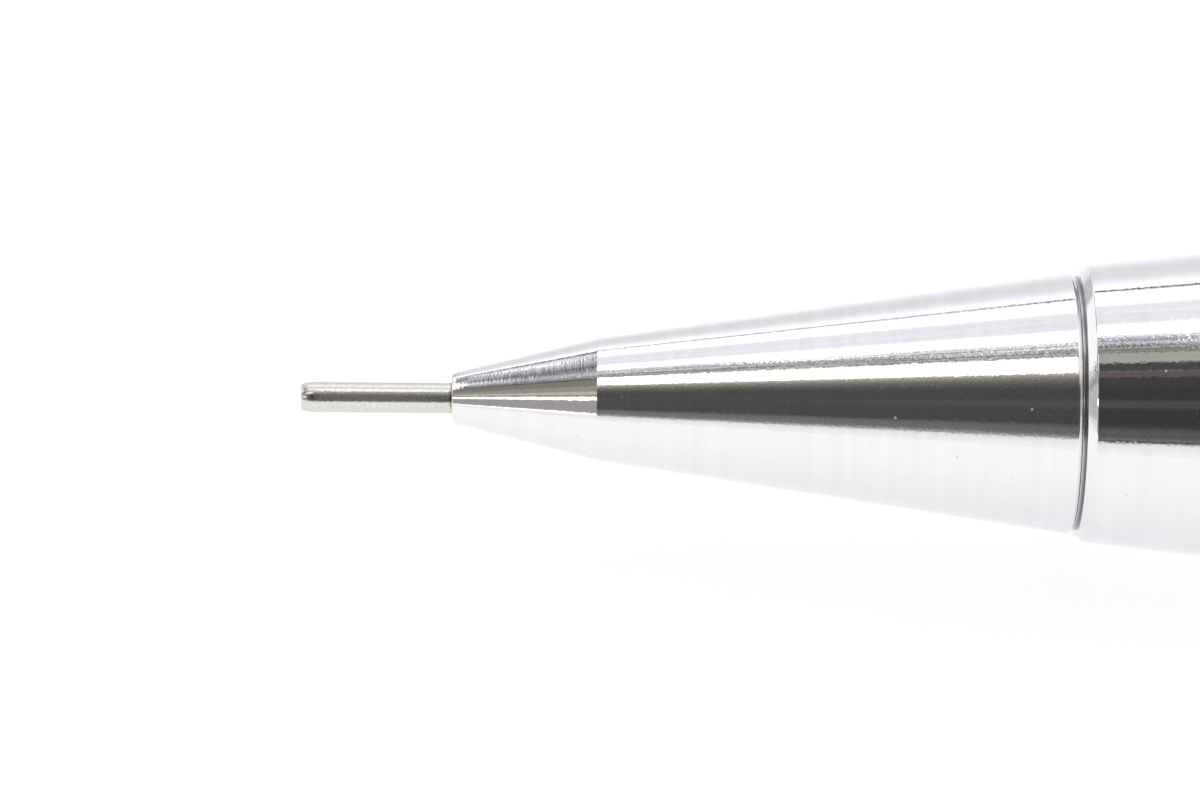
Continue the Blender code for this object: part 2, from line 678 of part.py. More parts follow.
def clip_width(along, pad_at):
    """The blade narrows evenly towards its pad, and its end is rounded."""
    taper = CLIP_WIDTH + (CLIP_TIP_WIDTH - CLIP_WIDTH) * min(along / pad_at, 1)
    past = max(0, along - pad_at) / CLIP_FLICK_LENGTH
    return taper * math.sqrt(1 - (0.85 * past) ** 2)


def clip(material, parent):
    """A bent strip of spring steel, with its origin on the line about which it flexes."""
    foot_station = (BAND_FRONT + BAND_REAR) / 2
    line = clip_line()
    pivot_height = line[0][1]
    pivot = empty("clip_pivot", parent, (foot_station, 0, pivot_height))
    bm = bmesh.new()
    rows = [
        [bm.verts.new((-along, side * width / 2, height - pivot_height)) for side in (-1, 1)]
        for along, height, width in line
    ]
    for near, far in zip(rows, rows[1:]):
        bm.faces.new((near[0], near[1], far[1], far[0]))
    obj = piece("clip", bm, material, pivot, (0, 0, 0))
    thickness = obj.modifiers.new("thickness", "SOLIDIFY")
    thickness.thickness = CLIP_THICKNESS
    thickness.offset = 0
    thickness.use_even_offset = True
    edges = obj.modifiers.new("edges", "BEVEL")
    edges.width = CLIP_EDGE
    edges.segments = 2
    edges.limit_method = "ANGLE"
    edges.angle_limit = SHARP_ANGLE
    return obj


def tail_bush(material, parent):
    """The screwed end piece that guides the push button."""
    thread = NECK_RADIUS + PRESS_ROOM
    outline = [
        (TAIL_FRONT, thread),
        (TAIL_FRONT, BODY_RADIUS - EDGE_BREAK),
        (TAIL_FRONT + EDGE_BREAK, BODY_RADIUS),
        (TAIL_REAR - TAIL_TAPER_LENGTH, BODY_RADIUS),
        (TAIL_REAR - EDGE_BREAK, TAIL_END_DIAMETER / 2),
        (TAIL_REAR, TAIL_END_DIAMETER / 2 - EDGE_BREAK),
        (TAIL_REAR, BARREL_BORE),
        (NECK_REAR + FACE_ROOM, BARREL_BORE),
        (NECK_REAR + FACE_ROOM, thread),
    ]
    return turned("tail_bush", outline, material, parent)


def push_cap(material, parent):
    """The push button: a deep cap over the eraser, with finger grooves near its end."""
    grooves = []
    for index in range(CAP_GROOVES):
        middle = CAP_REAR - CAP_GROOVE_SET_BACK - (CAP_GROOVES - 1 - index) * CAP_GROOVE_PITCH
        grooves += [
            (middle - CAP_GROOVE_WIDTH / 2, CAP_RADIUS),
            (middle - CAP_GROOVE_WIDTH / 4, CAP_RADIUS - CAP_GROOVE_DEPTH),
            (middle + CAP_GROOVE_WIDTH / 4, CAP_RADIUS - CAP_GROOVE_DEPTH),
            (middle + CAP_GROOVE_WIDTH / 2, CAP_RADIUS),
        ]
    outline = [
        (CAP_FRONT, CAP_BORE),
        (CAP_FRONT, CAP_RADIUS - EDGE_BREAK),
        (CAP_FRONT + EDGE_BREAK, CAP_RADIUS),
        *grooves,
        *quarter_round(CAP_REAR, CAP_RADIUS, CAP_ROUND),
        (CAP_REAR, 0),
        (CAP_REAR - CAP_CROWN, 0),
        (CAP_REAR - CAP_CROWN, CAP_BORE),
    ]
    return turned("push_cap", opened_on_axis(outline), material, parent)


def opened_on_axis(outline):
    """Starts the loop where it leaves the axis, so that its first and last points lie on the axis."""
    on_axis = [index for index, (_, radius) in enumerate(outline) if radius == 0]
    start = on_axis[-1]
    return outline[start:] + outline[:start]


def eraser_ferrule(material, parent):
    """A cup for the eraser on a plug that closes the lead tube, bored for the cleaning needle."""
    needle_bore = NEEDLE_RADIUS + PRESS_ROOM
    outline = [
        (PLUG_FRONT, needle_bore),
        (PLUG_FRONT, TUBE_BORE - PRESS_ROOM - EDGE_BREAK),
        (PLUG_FRONT + EDGE_BREAK, TUBE_BORE - PRESS_ROOM),
        (FLANGE_FRONT, TUBE_BORE - PRESS_ROOM),
        (FLANGE_FRONT, FERRULE_RADIUS),
        (FLANGE_REAR + FERRULE_LENGTH, FERRULE_RADIUS),
        (FLANGE_REAR + FERRULE_LENGTH, FERRULE_BORE),
        (FLANGE_REAR, FERRULE_BORE),
        (FLANGE_REAR, needle_bore),
    ]
    return turned("eraser_ferrule", outline, material, parent, INNER_SIDES)


def eraser(material, parent):
    radius = ERASER_DIAMETER / 2
    outline = [
        (ERASER_FRONT, 0),
        (ERASER_FRONT, radius),
        *quarter_round(ERASER_REAR, radius, ERASER_ROUND),
        (ERASER_REAR, 0),
    ]
    return turned("eraser", outline, material, parent, INNER_SIDES)


def cleaning_needle(material, parent):
    front, rear = PLUG_FRONT - NEEDLE_REACH, FLANGE_REAR
    return rod("cleaning_needle", front, rear, NEEDLE_RADIUS, material, parent)


def main():
    clear_scene()
    chrome = finish("chrome_plate", (0.86, 0.86, 0.87), 0.06, 1.0)
    steel = finish("sleeve_steel", (0.72, 0.70, 0.66), 0.18, 1.0)
    spring_wire = finish("spring_wire", (0.62, 0.62, 0.63), 0.3, 1.0)
    brass = finish("brass", (0.78, 0.60, 0.30), 0.25, 1.0)
    nickel = finish("nickel", (0.70, 0.69, 0.66), 0.25, 1.0)
    graphite = finish("graphite", (0.05, 0.05, 0.055), 0.45, 0.0)
    black_rubber = finish("black_rubber", (0.03, 0.03, 0.03), 0.7, 0.0)
    tube_plastic = finish("tube_plastic", (0.80, 0.81, 0.80), 0.4, 0.0)
    drum_enamel = finish("drum_enamel", (0.86, 0.85, 0.82), 0.4, 0.0)
    eraser_rubber = finish("eraser_rubber", (0.88, 0.88, 0.86), 0.8, 0.0)

    side = (CLIP_SIDE_REACH - BODY_RADIUS) / 2
    body = empty("pencil", location=(-CAP_REAR / 2, side, BODY_RADIUS))
    body.rotation_euler.x = ROLL
    nose = empty("nose_frame", body)
    plunger = empty("plunger_frame", body)
    cap = empty("cap_frame", plunger)

    guide_sleeve(steel, nose)
    nose_cone(chrome, nose)
    lead_retainer(black_rubber, nose)

    clutch_ring(brass, empty("ring_frame", body))
    rod(
        "working_lead", LEAD_SET_BACK, LEAD_SET_BACK + LEAD_LENGTH, LEAD_RADIUS, graphite, empty("lead_frame", body)
    )

    chuck(brass, plunger)
    chuck_holder(brass, plunger)
    lead_tube(tube_plastic, plunger)
    spare_leads(graphite, plunger)
    eraser_ferrule(nickel, plunger)
    eraser(eraser_rubber, plunger)
    cleaning_needle(steel, plunger)
    push_cap(chrome, cap)

    clutch_seat(brass, body)
    return_spring(spring_wire, body)
    grip(chrome, body)
    grade_drum(drum_enamel, body)
    grade_ring(chrome, empty("grade_frame", body))
    barrel(chrome, body)
    clip_band(chrome, body)
    clip(chrome, body)
    tail_bush(chrome, body)


main()
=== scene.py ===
"""A chrome drafting pencil on a white table, seen close on its nose.

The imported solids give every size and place. Turned pieces are rebuilt from their own sections with many
more facets and softened edges. Lengths are in metres, and shader textures count in millimetres.
"""

import json
import math

import bmesh
import bpy
from mathutils import Matrix, Vector


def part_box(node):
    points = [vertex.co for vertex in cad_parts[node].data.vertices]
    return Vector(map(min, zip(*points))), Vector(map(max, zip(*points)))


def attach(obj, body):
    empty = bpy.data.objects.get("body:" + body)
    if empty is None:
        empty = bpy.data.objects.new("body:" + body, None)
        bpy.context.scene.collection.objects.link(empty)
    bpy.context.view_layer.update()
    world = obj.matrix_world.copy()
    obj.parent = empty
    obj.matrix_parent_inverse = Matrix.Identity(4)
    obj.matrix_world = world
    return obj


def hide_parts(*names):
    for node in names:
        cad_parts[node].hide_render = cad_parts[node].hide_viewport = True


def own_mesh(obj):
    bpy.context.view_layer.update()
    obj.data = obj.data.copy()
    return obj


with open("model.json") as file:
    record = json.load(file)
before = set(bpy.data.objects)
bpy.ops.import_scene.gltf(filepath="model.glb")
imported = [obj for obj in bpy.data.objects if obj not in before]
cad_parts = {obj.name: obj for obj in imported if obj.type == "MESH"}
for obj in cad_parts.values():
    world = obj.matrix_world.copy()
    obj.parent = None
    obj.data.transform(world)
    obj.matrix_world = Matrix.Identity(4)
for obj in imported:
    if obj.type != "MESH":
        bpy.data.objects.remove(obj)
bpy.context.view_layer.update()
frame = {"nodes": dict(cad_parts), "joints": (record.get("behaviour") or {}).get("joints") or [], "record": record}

MM = 0.001

# Camera
CAMERA_DISTANCE = 135 * MM
CAMERA_ELEVATION = math.radians(30)
CAMERA_ROLL = math.radians(0.46)
CAMERA_LENS_MM = 151
CAMERA_AIM_STATION = 7.96 * MM
CAMERA_AIM_DROP = 0.018 * MM
CAMERA_NEAR = CAMERA_DISTANCE / 20

# Facets round the axis, and how turned edges are softened
SIDES_CLOSE = 256
SIDES_BODY = 160
SIDES_INNER = 64
SIDES_WIRE = 24
EDGE_SOFT = 0.03 * MM
CORNER_STEPS = 4
CORNER_SHARE = 0.45
SHARP_ANGLE = math.radians(50)
SECTION_TOLERANCE = 1e-6

# Plating: depth of its grain and turning lines, roughness of its dull grains, and the nose's worn lip
CHROME_GRAIN = 1.1e-6
TURNING_DEPTH = 2.4e-6
NOSE_GRAINS = 0.17
BODY_GRAINS = 0.07
LIP_LENGTH = 0.5 * MM
LIP_FALL = 25e-6

# The range that most values of a noise fall in, and the share of a speck that is full
NOISE_RANGE = (0.3, 0.7)
SPECK_CORE = 0.6

# Seam between the nose and the grip, the shares of its floor's radius that count as floor, and the painted shade
# in its colour from front to rear: it stands for the gap's shadow and is darkest just before the grip's face
SEAM_NEAR = 0.2 * MM
SEAM_LIP = 0.01 * MM
SEAM_RAISE = 0.10 * MM
SEAM_SLOT = 0.004 * MM
SEAM_FLOOR_BAND = (0.99, 1.01)
SEAM_PAINTED_SHADES = (
    (0.0, (0.88, 0.88, 0.89)),
    (0.35, (0.40, 0.40, 0.42)),
    (0.84, (0.13, 0.13, 0.145)),
    (0.90, (0.88, 0.88, 0.89)),
)

# The guide sleeve's mouth
MOUTH_REACH = 0.04 * MM
MOUTH_LENGTH = 0.40 * MM
MOUTH_DROP = 0.085 * MM
MOUTH_STEPS = 8

# Grip: knurl and front thread
KNURL_DIAMONDS = 40
KNURL_ROW = 0.40 * MM
KNURL_GROOVE = 0.22 * MM
KNURL_TOP = 0.42
KNURL_BACKING = 0.15 * MM
THREAD_PITCH = 0.5 * MM
THREAD_DEPTH = 0.2 * MM
THREAD_STEPS = 48
THREAD_RUN_OUT = 0.8 * MM

# The thread's ridge: its height per depth, half its foot per pitch, that per half its flat, how fast it
# fades at its ends and the least height left there, and the shares of the spigot's radius that it covers
THREAD_SINK = 1.2
THREAD_FOOT = 0.45
THREAD_FLAT = 5
THREAD_FADE = 4
THREAD_LEAST = 0.05
SPIGOT_BAND = (0.9, 1.01)

# Grade marks, in the order that they pass the window
GRADES = ("4H", "3H", "2H", "H", "F", "HB", "B", "2B")
GRADE_SHOWN = "HB"
GRADE_WINDOW_ANGLE = math.radians(60)
GRADE_HEIGHT = 1.55 * MM
GRADE_CAPITALS = 0.7
GRADE_INK = 0.012 * MM
GRADE_SLICE = 0.12 * MM
GRADE_MERGE = 1e-8
WINDOW_SIZE = (2.6 * MM, 3.4 * MM)
WINDOW_CORNER = 0.4 * MM
WINDOW_CORNER_STEPS = 6

# Chuck slits
CHUCK_JAWS = 3
CHUCK_SLIT_WIDTH = 0.2 * MM
CHUCK_SLIT_LENGTH = 9.0 * MM
CHUCK_SLIT_REACH = 1.2

# Clip
CLIP_WIDTH = 3.4 * MM
CLIP_TIP_WIDTH = 2.7 * MM
CLIP_THICKNESS = 0.8 * MM
CLIP_CROWN = 0.10 * MM
CLIP_EDGE = 0.16 * MM
CLIP_GAP = 2.2 * MM
CLIP_BEND = 1.2 * MM
CLIP_DIP_LENGTH = 6.0 * MM
CLIP_FLICK_LENGTH = 2.4 * MM
CLIP_FLICK_RISE = 0.9 * MM
CLIP_PAD_ROOM = 0.05 * MM
CLIP_FOOT_ROOM = 0.1 * MM
CLIP_END_NARROWING = 0.85
CLIP_STEPS = 12
CLIP_EDGE_STEPS = 3
CLIP_CROWN_STEPS = 4

# Spring
SPRING_WIRE = 0.35 * MM
SPRING_TURNS = 12
SPRING_STEPS = 28
SPRING_SIDES = 12


def joint(name):
    """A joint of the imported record."""
    return next(item for item in frame["joints"] if item["name"] == name)


def pencil_frame():
    """The pencil's own axes in the world: X along it from the sleeve's mouth, Z towards the clip."""
    low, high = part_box("barrel")
    middle = (low + high) / 2
    along = Vector((1, 0, 0))
    across = Vector(joint("clip_flex")["axis"])
    matrix = Matrix((along, across, along.cross(across))).transposed().to_4x4()
    matrix.translation = (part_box("lead_sleeve")[0].x, middle.y, middle.z)
    return matrix


PENCIL = pencil_frame()
TO_PENCIL = PENCIL.inverted()
PENCIL_PLACE = Matrix.Translation(PENCIL.translation)
PENCIL_ROLL = PENCIL_PLACE.inverted() @ PENCIL
BODY_RADIUS = (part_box("barrel")[1].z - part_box("barrel")[0].z) / 2


def stations(node):
    """First and last station of a node along the pencil."""
    low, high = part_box(node)
    return (TO_PENCIL @ low).x, (TO_PENCIL @ high).x


# Sections of the turned solids


def section(node, axis=(0.0, 0.0)):
    """A turned node's outline as (station, radius) points, read in the half-plane opposite the clip.

    The outline of a node with a solid end starts and stops on the axis.
    """
    mesh = frame["nodes"][node].data
    points = [TO_PENCIL @ vertex.co for vertex in mesh.vertices]
    links = {}
    for edge in mesh.edges:
        ends = [points[index] for index in edge.vertices]
        if all(abs(p.y - axis[0]) < SECTION_TOLERANCE and p.z - axis[1] < SECTION_TOLERANCE for p in ends):
            first, second = (section_key(p, axis) for p in ends)
            if first != second:
                links.setdefault(first, set()).add(second)
                links.setdefault(second, set()).add(first)
    loose = [key for key, near in links.items() if len(near) == 1]
    walk = [min(loose or links)]
    while True:
        onward = [key for key in sorted(links[walk[-1]]) if key not in walk]
        if not onward:
            break
        walk.append(onward[0])
    if loose:
        walk = [(walk[0][0], 0), *walk, (walk[-1][0], 0)]
    return [(station * SECTION_TOLERANCE, radius * SECTION_TOLERANCE) for station, radius in walk]


def section_key(point, axis):
    """A section point in whole steps of the tolerance, so that split vertices fall together."""
    return round(point.x / SECTION_TOLERANCE), round(max(axis[1] - point.z, 0) / SECTION_TOLERANCE)


def lowered(outline, front, rear, low, high, drop):
    """The outline with its points between two stations and two radii brought down."""
    return [
        (station, radius - drop if front <= station <= rear and low < radius < high else radius)
        for station, radius in outline
    ]


def softened(outline):
    """The outline with each corner off the axis replaced by a small arc."""
    count = len(outline)
    closed = outline[0][1] > 0 or outline[-1][1] > 0
    soft = []
    for index, point in enumerate(outline):
        if not closed and index in (0, count - 1):
            soft.append(point)
            continue
        corner = Vector(point)
        before = Vector(outline[index - 1]) - corner
        after = Vector(outline[(index + 1) % count]) - corner
        reach = min(EDGE_SOFT, CORNER_SHARE * before.length, CORNER_SHARE * after.length)
        start, end = corner + before.normalized() * reach, corner + after.normalized() * reach
        for step in range(CORNER_STEPS + 1):
            share = step / CORNER_STEPS
            soft.append(tuple(start.lerp(corner, share).lerp(corner.lerp(end, share), share)))
    return soft


# Where the nose changes its slope and where the seam's two walls are. The nose's section starts with the two
# corners of its front face.
NOSE_SECTION = section("nose_cone")
NOSE_BREAK = NOSE_SECTION[2][0]
NOSE_REAR = stations("nose_cone")[1]
NOSE_BASE = max(radius for _, radius in NOSE_SECTION)
GRIP_FACE = min(station for station, radius in section("grip") if radius > NOSE_BASE)
SEAM_FLOOR = max(
    radius
    for station, radius in section("grip")
    if abs(station - NOSE_REAR) < SEAM_NEAR and radius < NOSE_BASE
)


# Mesh building


def new_piece(name, mesh, material, body, slot, *nodes, smooth=True):
    """Links a mesh given in the pencil's own axes, and hangs it on its body in place of the named nodes.

    The pencil's roll goes into the mesh, so that the object's box lies square in the frame.
    """
    mesh.transform(PENCIL_ROLL)
    obj = bpy.data.objects.new(name, mesh)
    bpy.context.scene.collection.objects.link(obj)
    obj.matrix_world = PENCIL_PLACE
    mesh.materials.append(material)
    if smooth:
        mesh.shade_smooth()
    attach(obj, body)
    if nodes:
        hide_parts(*nodes)
    return obj


def closed_mesh(name, points, faces):
    """A mesh whose faces are turned to point outwards."""
    mesh = bpy.data.meshes.new(name)
    mesh.from_pydata(points, [], faces)
    bm = bmesh.new()
    bm.from_mesh(mesh)
    bmesh.ops.recalc_face_normals(bm, faces=bm.faces)
    bm.to_mesh(mesh)
    bm.free()
    return mesh


def turned_mesh(name, outline, sides, axis=(0.0, 0.0)):
    """A solid of revolution about a line along X through the axis point (y, z)."""
    points, rings = [], []
    for station, radius in outline:
        first = len(points)
        if radius <= 0:
            points.append((station, *axis))
            rings.append([first] * sides)
            continue
        for side in range(sides):
            angle = math.tau * side / sides
            points.append((station, axis[0] + radius * math.sin(angle), axis[1] + radius * math.cos(angle)))
        rings.append(list(range(first, first + sides)))
    faces = []
    for near, far in zip(rings, rings[1:] + rings[:1]):
        for side in range(sides):
            after = (side + 1) % sides
            corners = list(dict.fromkeys((near[side], near[after], far[after], far[side])))
            if len(corners) > 2:
                faces.append(corners)
    return closed_mesh(name, points, faces)


def even_normals(obj):
    """Keeps broad faces' shading true beside their softened edges."""
    modifier = obj.modifiers.new("even normals", "WEIGHTED_NORMAL")
    modifier.mode = "FACE_AREA"
    modifier.weight = 100
    modifier.keep_sharp = True


def record_slot(node):
    return next(item["material_slot"] for item in frame["record"]["subparts"] if item["node"] == node)


def turned(node, sides, material, body, outline=None, axis=(0.0, 0.0)):
    """Makes a node's turned piece with softened edges, from its own section where no outline is given."""
    name = f"{node}_finish"
    mesh = turned_mesh(name, softened(outline or section(node, axis)), sides, axis)
    obj = new_piece(name, mesh, material, body, record_slot(node), node)
    even_normals(obj)
    return obj


def cutter(name, mesh):
    """A hidden shape that a Boolean takes away."""
    obj = bpy.data.objects.new(name, mesh)
    bpy.context.scene.collection.objects.link(obj)
    obj.matrix_world = PENCIL
    return obj


def box_cutter(name, size, place, corner=0.0):
    """A box that cuts at a place in the pencil's axes, with its upright edges rounded."""
    bm = bmesh.new()
    bmesh.ops.create_cube(bm, size=1.0)
    bmesh.ops.scale(bm, vec=size, verts=bm.verts)
    if corner:
        upright = [edge for edge in bm.edges if abs(edge.verts[0].co.z - edge.verts[1].co.z) > size[2] / 2]
        bmesh.ops.bevel(bm, geom=upright, offset=corner, segments=WINDOW_CORNER_STEPS, affect="EDGES")
    bmesh.ops.transform(bm, matrix=place, verts=bm.verts)
    mesh = bpy.data.meshes.new(name)
    bm.to_mesh(mesh)
    bm.free()
    return cutter(name, mesh)


def cut_away(obj, tool):
    """Applies a Boolean difference, keeps its rims sharp and removes the tool."""
    boolean = obj.modifiers.new("cut", "BOOLEAN")
    boolean.operation = "DIFFERENCE"
    boolean.object = tool
    obj.modifiers.move(len(obj.modifiers) - 1, 0)
    bpy.context.view_layer.update()
    rest = [modifier for modifier in obj.modifiers if modifier != boolean]
    for modifier in rest:
        modifier.show_viewport = False
    evaluated = obj.evaluated_get(bpy.context.evaluated_depsgraph_get())
    mesh = bpy.data.meshes.new_from_object(evaluated)
    obj.modifiers.remove(boolean)
    for modifier in rest:
        modifier.show_viewport = True
    mesh.set_sharp_from_angle(angle=SHARP_ANGLE)
    obj.data = mesh
    bpy.data.objects.remove(tool)


def swept_mesh(name, path, outline_at):
    """A tube of changing section: outline_at(index) gives the loop of points at a path index."""
    loops = [outline_at(index) for index in range(len(path))]
    size = len(loops[0])
    points = [point for loop in loops for point in loop]
    faces = []
    for row in range(len(loops) - 1):
        for side in range(size):
            after = (side + 1) % size
            near, far = row * size, (row + 1) * size
            faces.append((near + side, near + after, far + after, far + side))
    faces.append(tuple(range(size)))
    faces.append(tuple(range(len(points) - size, len(points))))
    return closed_mesh(name, points, faces)


# Shader helpers


class Shading:
    """A node tree with short calls. Most of them return the new node's output, ready to be linked."""

    def __init__(self, tree):
        self.tree = tree

    def node(self, kind, settings=None, **inputs):
        made = self.tree.nodes.new(kind)
        for key, value in (settings or {}).items():
            setattr(made, key, value)
        self.fill(made, **inputs)
        return made

    def fill(self, node, **inputs):
        """Sets or links a node's inputs by name, with _ for a space."""
        for key, value in inputs.items():
            self.feed(node.inputs[key.replace("_", " ")], value)

    def feed(self, socket, value):
        if isinstance(value, bpy.types.NodeSocket):
            self.tree.links.new(value, socket)
        else:
            socket.default_value = value

    def math(self, operation, *values):
        made = self.tree.nodes.new("ShaderNodeMath")
        made.operation = operation
        for socket, value in zip(made.inputs, values):
            self.feed(socket, value)
        return made.outputs[0]

    def step(self, value, low, high):
        """A smooth step from 0 at low to 1 at high."""
        settings = {"interpolation_type": "SMOOTHSTEP"}
        return self.node(
            "ShaderNodeMapRange", settings, Value=value, From_Min=low, From_Max=high
        ).outputs["Result"]

    def spread(self, value, low, high, to_low=0.0, to_high=1.0):
        """The value carried evenly from one range to another, and held at the ends."""
        return self.node(
            "ShaderNodeMapRange",
            Value=value, From_Min=low, From_Max=high, To_Min=to_low, To_Max=to_high,
        ).outputs["Result"]

    def window(self, value, low, high, soft):
        """1 between low and high, with soft edges, and 0 outside."""
        rise = self.step(value, low - soft, low + soft)
        fall = self.step(value, high - soft, high + soft)
        return self.math("MULTIPLY", rise, self.math("SUBTRACT", 1.0, fall))

    def mix(self, factor, first, second):
        made = self.tree.nodes.new("ShaderNodeMix")
        made.data_type = "RGBA"
        self.feed(made.inputs["Factor"], factor)
        self.feed(made.inputs[6], first)
        self.feed(made.inputs[7], second)
        return made.outputs[2]

    def noise(self, vector, scale, detail=2.0, roughness=0.5):
        return self.node(
            "ShaderNodeTexNoise", Vector=vector, Scale=scale, Detail=detail, Roughness=roughness
        ).outputs[0]

    def noise_along(self, value, scale, detail=2.0):
        """Noise that changes along one line only."""
        settings = {"noise_dimensions": "1D"}
        return self.node("ShaderNodeTexNoise", settings, W=value, Scale=scale, Detail=detail).outputs[0]

    def ramp(self, value, stops):
        made = self.tree.nodes.new("ShaderNodeValToRGB")
        elements = made.color_ramp.elements
        while len(elements) < len(stops):
            elements.new(1.0)
        for element, (position, colour) in zip(elements, stops):
            element.position = position
            element.color = (*colour, 1.0)
        self.feed(made.inputs[0], value)
        return made.outputs[0]

    def bump(self, height, depth, normal=None):
        made = self.node("ShaderNodeBump", Height=height, Distance=depth, Strength=1.0)
        if normal:
            self.feed(made.inputs["Normal"], normal)
        return made.outputs[0]


def new_material(name):
    """A material, its helper, its Principled shader and its coordinates in millimetres on the piece."""
    material = bpy.data.materials.new(name)
    material.use_nodes = True
    shading = Shading(material.node_tree)
    shader = material.node_tree.nodes["Principled BSDF"]
    place = material.node_tree.nodes.new("ShaderNodeTexCoord").outputs["Object"]
    scaled = shading.node("ShaderNodeVectorMath", {"operation": "SCALE"}, Vector=place, Scale=1 / MM)
    return material, shading, shader, scaled.outputs[0]


def station_of(shading, place):
    return shading.node("ShaderNodeSeparateXYZ", Vector=place).outputs["X"]


def grey(value):
    return (value, value, value, 1.0)


def specks(shading, place, scale, radius, share):
    """Small spots: one in some cells of a Voronoi pattern."""
    cells = shading.node("ShaderNodeTexVoronoi", Vector=place, Scale=scale)
    spot = shading.step(cells.outputs["Distance"], radius, radius * SPECK_CORE)
    chosen = shading.node("ShaderNodeSeparateColor", Color=cells.outputs["Color"]).outputs[0]
    return shading.math("MULTIPLY", spot, shading.math("LESS_THAN", chosen, share))


# Materials


def chrome_plate(name, line_depth, dull_grains, fade_at, seam, lip):
    """Bright plating with turning lines, a little orange peel, wiped haze, dull grains and dust.

    The lines are much fainter past the fade_at station. Between the seam's two stations the plating is rougher,
    and painted shade, darkest just short of the second station, stands for the gap's shadow in its colour. Its
    front edge is rubbed round from the lip station.
    """
    material, shading, shader, place = new_material(name)
    station = station_of(shading, place)
    haze = shading.noise(place, 0.35, 4.0)
    streaks = shading.noise_along(station, 2.5, 4.0)
    dust = specks(shading, place, 1.3, 0.065, 0.8)
    # The seam's band is rougher, and painted shade darkens its colour there, standing for the gap's shadow
    seam_shade_and_dullness = shading.window(station, seam[0] / MM, seam[1] / MM, 0.005)
    tint = shading.ramp(streaks, [(0.3, (0.88, 0.88, 0.885)), (0.7, (0.92, 0.917, 0.915))])
    # Painted shade by depth through the seam, darkest just before the grip's face
    depth = shading.spread(station, seam[0] / MM, seam[1] / MM)
    tint = shading.mix(seam_shade_and_dullness, tint, shading.ramp(depth, SEAM_PAINTED_SHADES))
    tint = shading.mix(dust, tint, (0.86, 0.85, 0.83, 1.0))
    clean = shading.spread(haze, 0.45, 0.8, 0.02, 0.05)
    dull = shading.math("MAXIMUM", shading.math("MULTIPLY", dust, 0.45), shading.math("MULTIPLY", seam_shade_and_dullness, 0.18))
    rings = shading.math("MULTIPLY", shading.noise_along(station, 8.0, 3.0), 0.15)
    grains = shading.math("MULTIPLY", shading.noise(place, 14.0, 2.0), 0.85)
    grains = shading.spread(shading.math("ADD", rings, grains), 0.51, 0.68, 0.0, dull_grains)
    rough = shading.math("MAXIMUM", clean, shading.math("MAXIMUM", dull, grains))
    lines = shading.noise_along(station, 13.0, 2.0)
    strength = shading.spread(station, fade_at / MM, fade_at / MM + 0.1, 1.0, 0.01)
    normal = shading.bump(shading.math("MULTIPLY", lines, strength), line_depth)
    normal = shading.bump(shading.noise(place, 11.0, 1.5), CHROME_GRAIN, normal)
    fall = shading.spread(station, lip / MM, (lip + LIP_LENGTH) / MM, 1.0, 0.0)
    rise = shading.math("SUBTRACT", 1.0, shading.math("POWER", fall, 2.0))
    normal = shading.bump(rise, LIP_FALL, normal)
    shading.fill(shader, Base_Color=tint, Metallic=1.0, Roughness=rough, Normal=normal)
    return material


def sleeve_steel(name):
    """Satin drawn tube with a brown stain where it enters the nose."""
    material, shading, shader, place = new_material(name)
    station = station_of(shading, place)
    root = stations("nose_cone")[0] / MM
    grain = shading.noise(place, 13.0, 2.0)
    edge = shading.math("ADD", station, shading.math("MULTIPLY", shading.noise(place, 9.0, 3.0), 0.22))
    stain = shading.step(edge, root + 0.02, root + 0.09)
    steel = shading.ramp(grain, [(0.3, (0.70, 0.685, 0.65)), (0.65, (0.79, 0.775, 0.745))])
    tint = shading.mix(stain, steel, (0.36, 0.29, 0.17, 1.0))
    rough = shading.spread(grain, *NOISE_RANGE, 0.13, 0.21)
    normal = shading.bump(grain, 3.2e-6)
    shading.fill(shader, Base_Color=tint, Metallic=1.0, Roughness=rough, Normal=normal)
    return material


def drawn_steel(name, colour, roughness, grain_depth):
    """Dull drawn metal: fine grain, streaks along the piece and slight tarnish."""
    material, shading, shader, place = new_material(name)
    stretch = shading.node("ShaderNodeVectorMath", {"operation": "MULTIPLY"}, Vector=place)
    stretch.inputs[1].default_value = (0.25, 1.0, 1.0)
    streaks = shading.noise(stretch.outputs[0], 16.0, 3.0)
    tarnish = shading.noise(place, 0.9, 4.0)
    dark = [value * 0.9 for value in colour]
    tint = shading.ramp(tarnish, [(0.3, dark), (0.65, colour)])
    rough = shading.spread(streaks, *NOISE_RANGE, roughness * 0.8, roughness * 1.25)
    normal = shading.bump(shading.noise(place, 22.0, 2.0), grain_depth)
    shading.fill(shader, Base_Color=tint, Metallic=1.0, Roughness=rough, Normal=normal)
    return material


def turned_brass(name):
    """Bare brass with cutting lines and darker tarnish."""
    material, shading, shader, place = new_material(name)
    tarnish = shading.noise(place, 1.4, 5.0)
    tint = shading.ramp(tarnish, [(0.3, (0.62, 0.44, 0.20)), (0.6, (0.83, 0.63, 0.32))])
    rough = shading.spread(tarnish, *NOISE_RANGE, 0.34, 0.2)
    lines = shading.noise_along(station_of(shading, place), 14.0, 3.0)
    normal = shading.bump(lines, 1.5e-6)
    shading.fill(shader, Base_Color=tint, Metallic=1.0, Roughness=rough, Normal=normal)
    return material


def dull_surface(name, low, high, scale, roughness, grain_scale, grain_depth):
    """A surface without metal, between two colours, with grain."""
    material, shading, shader, place = new_material(name)
    patches = shading.noise(place, scale, 4.0)
    tint = shading.ramp(patches, [(0.35, low), (0.65, high)])
    rough = shading.spread(patches, *NOISE_RANGE, roughness - 0.06, roughness + 0.06)
    normal = shading.bump(shading.noise(place, grain_scale, 3.0), grain_depth)
    shading.fill(shader, Base_Color=tint, Roughness=rough, Normal=normal)
    return material


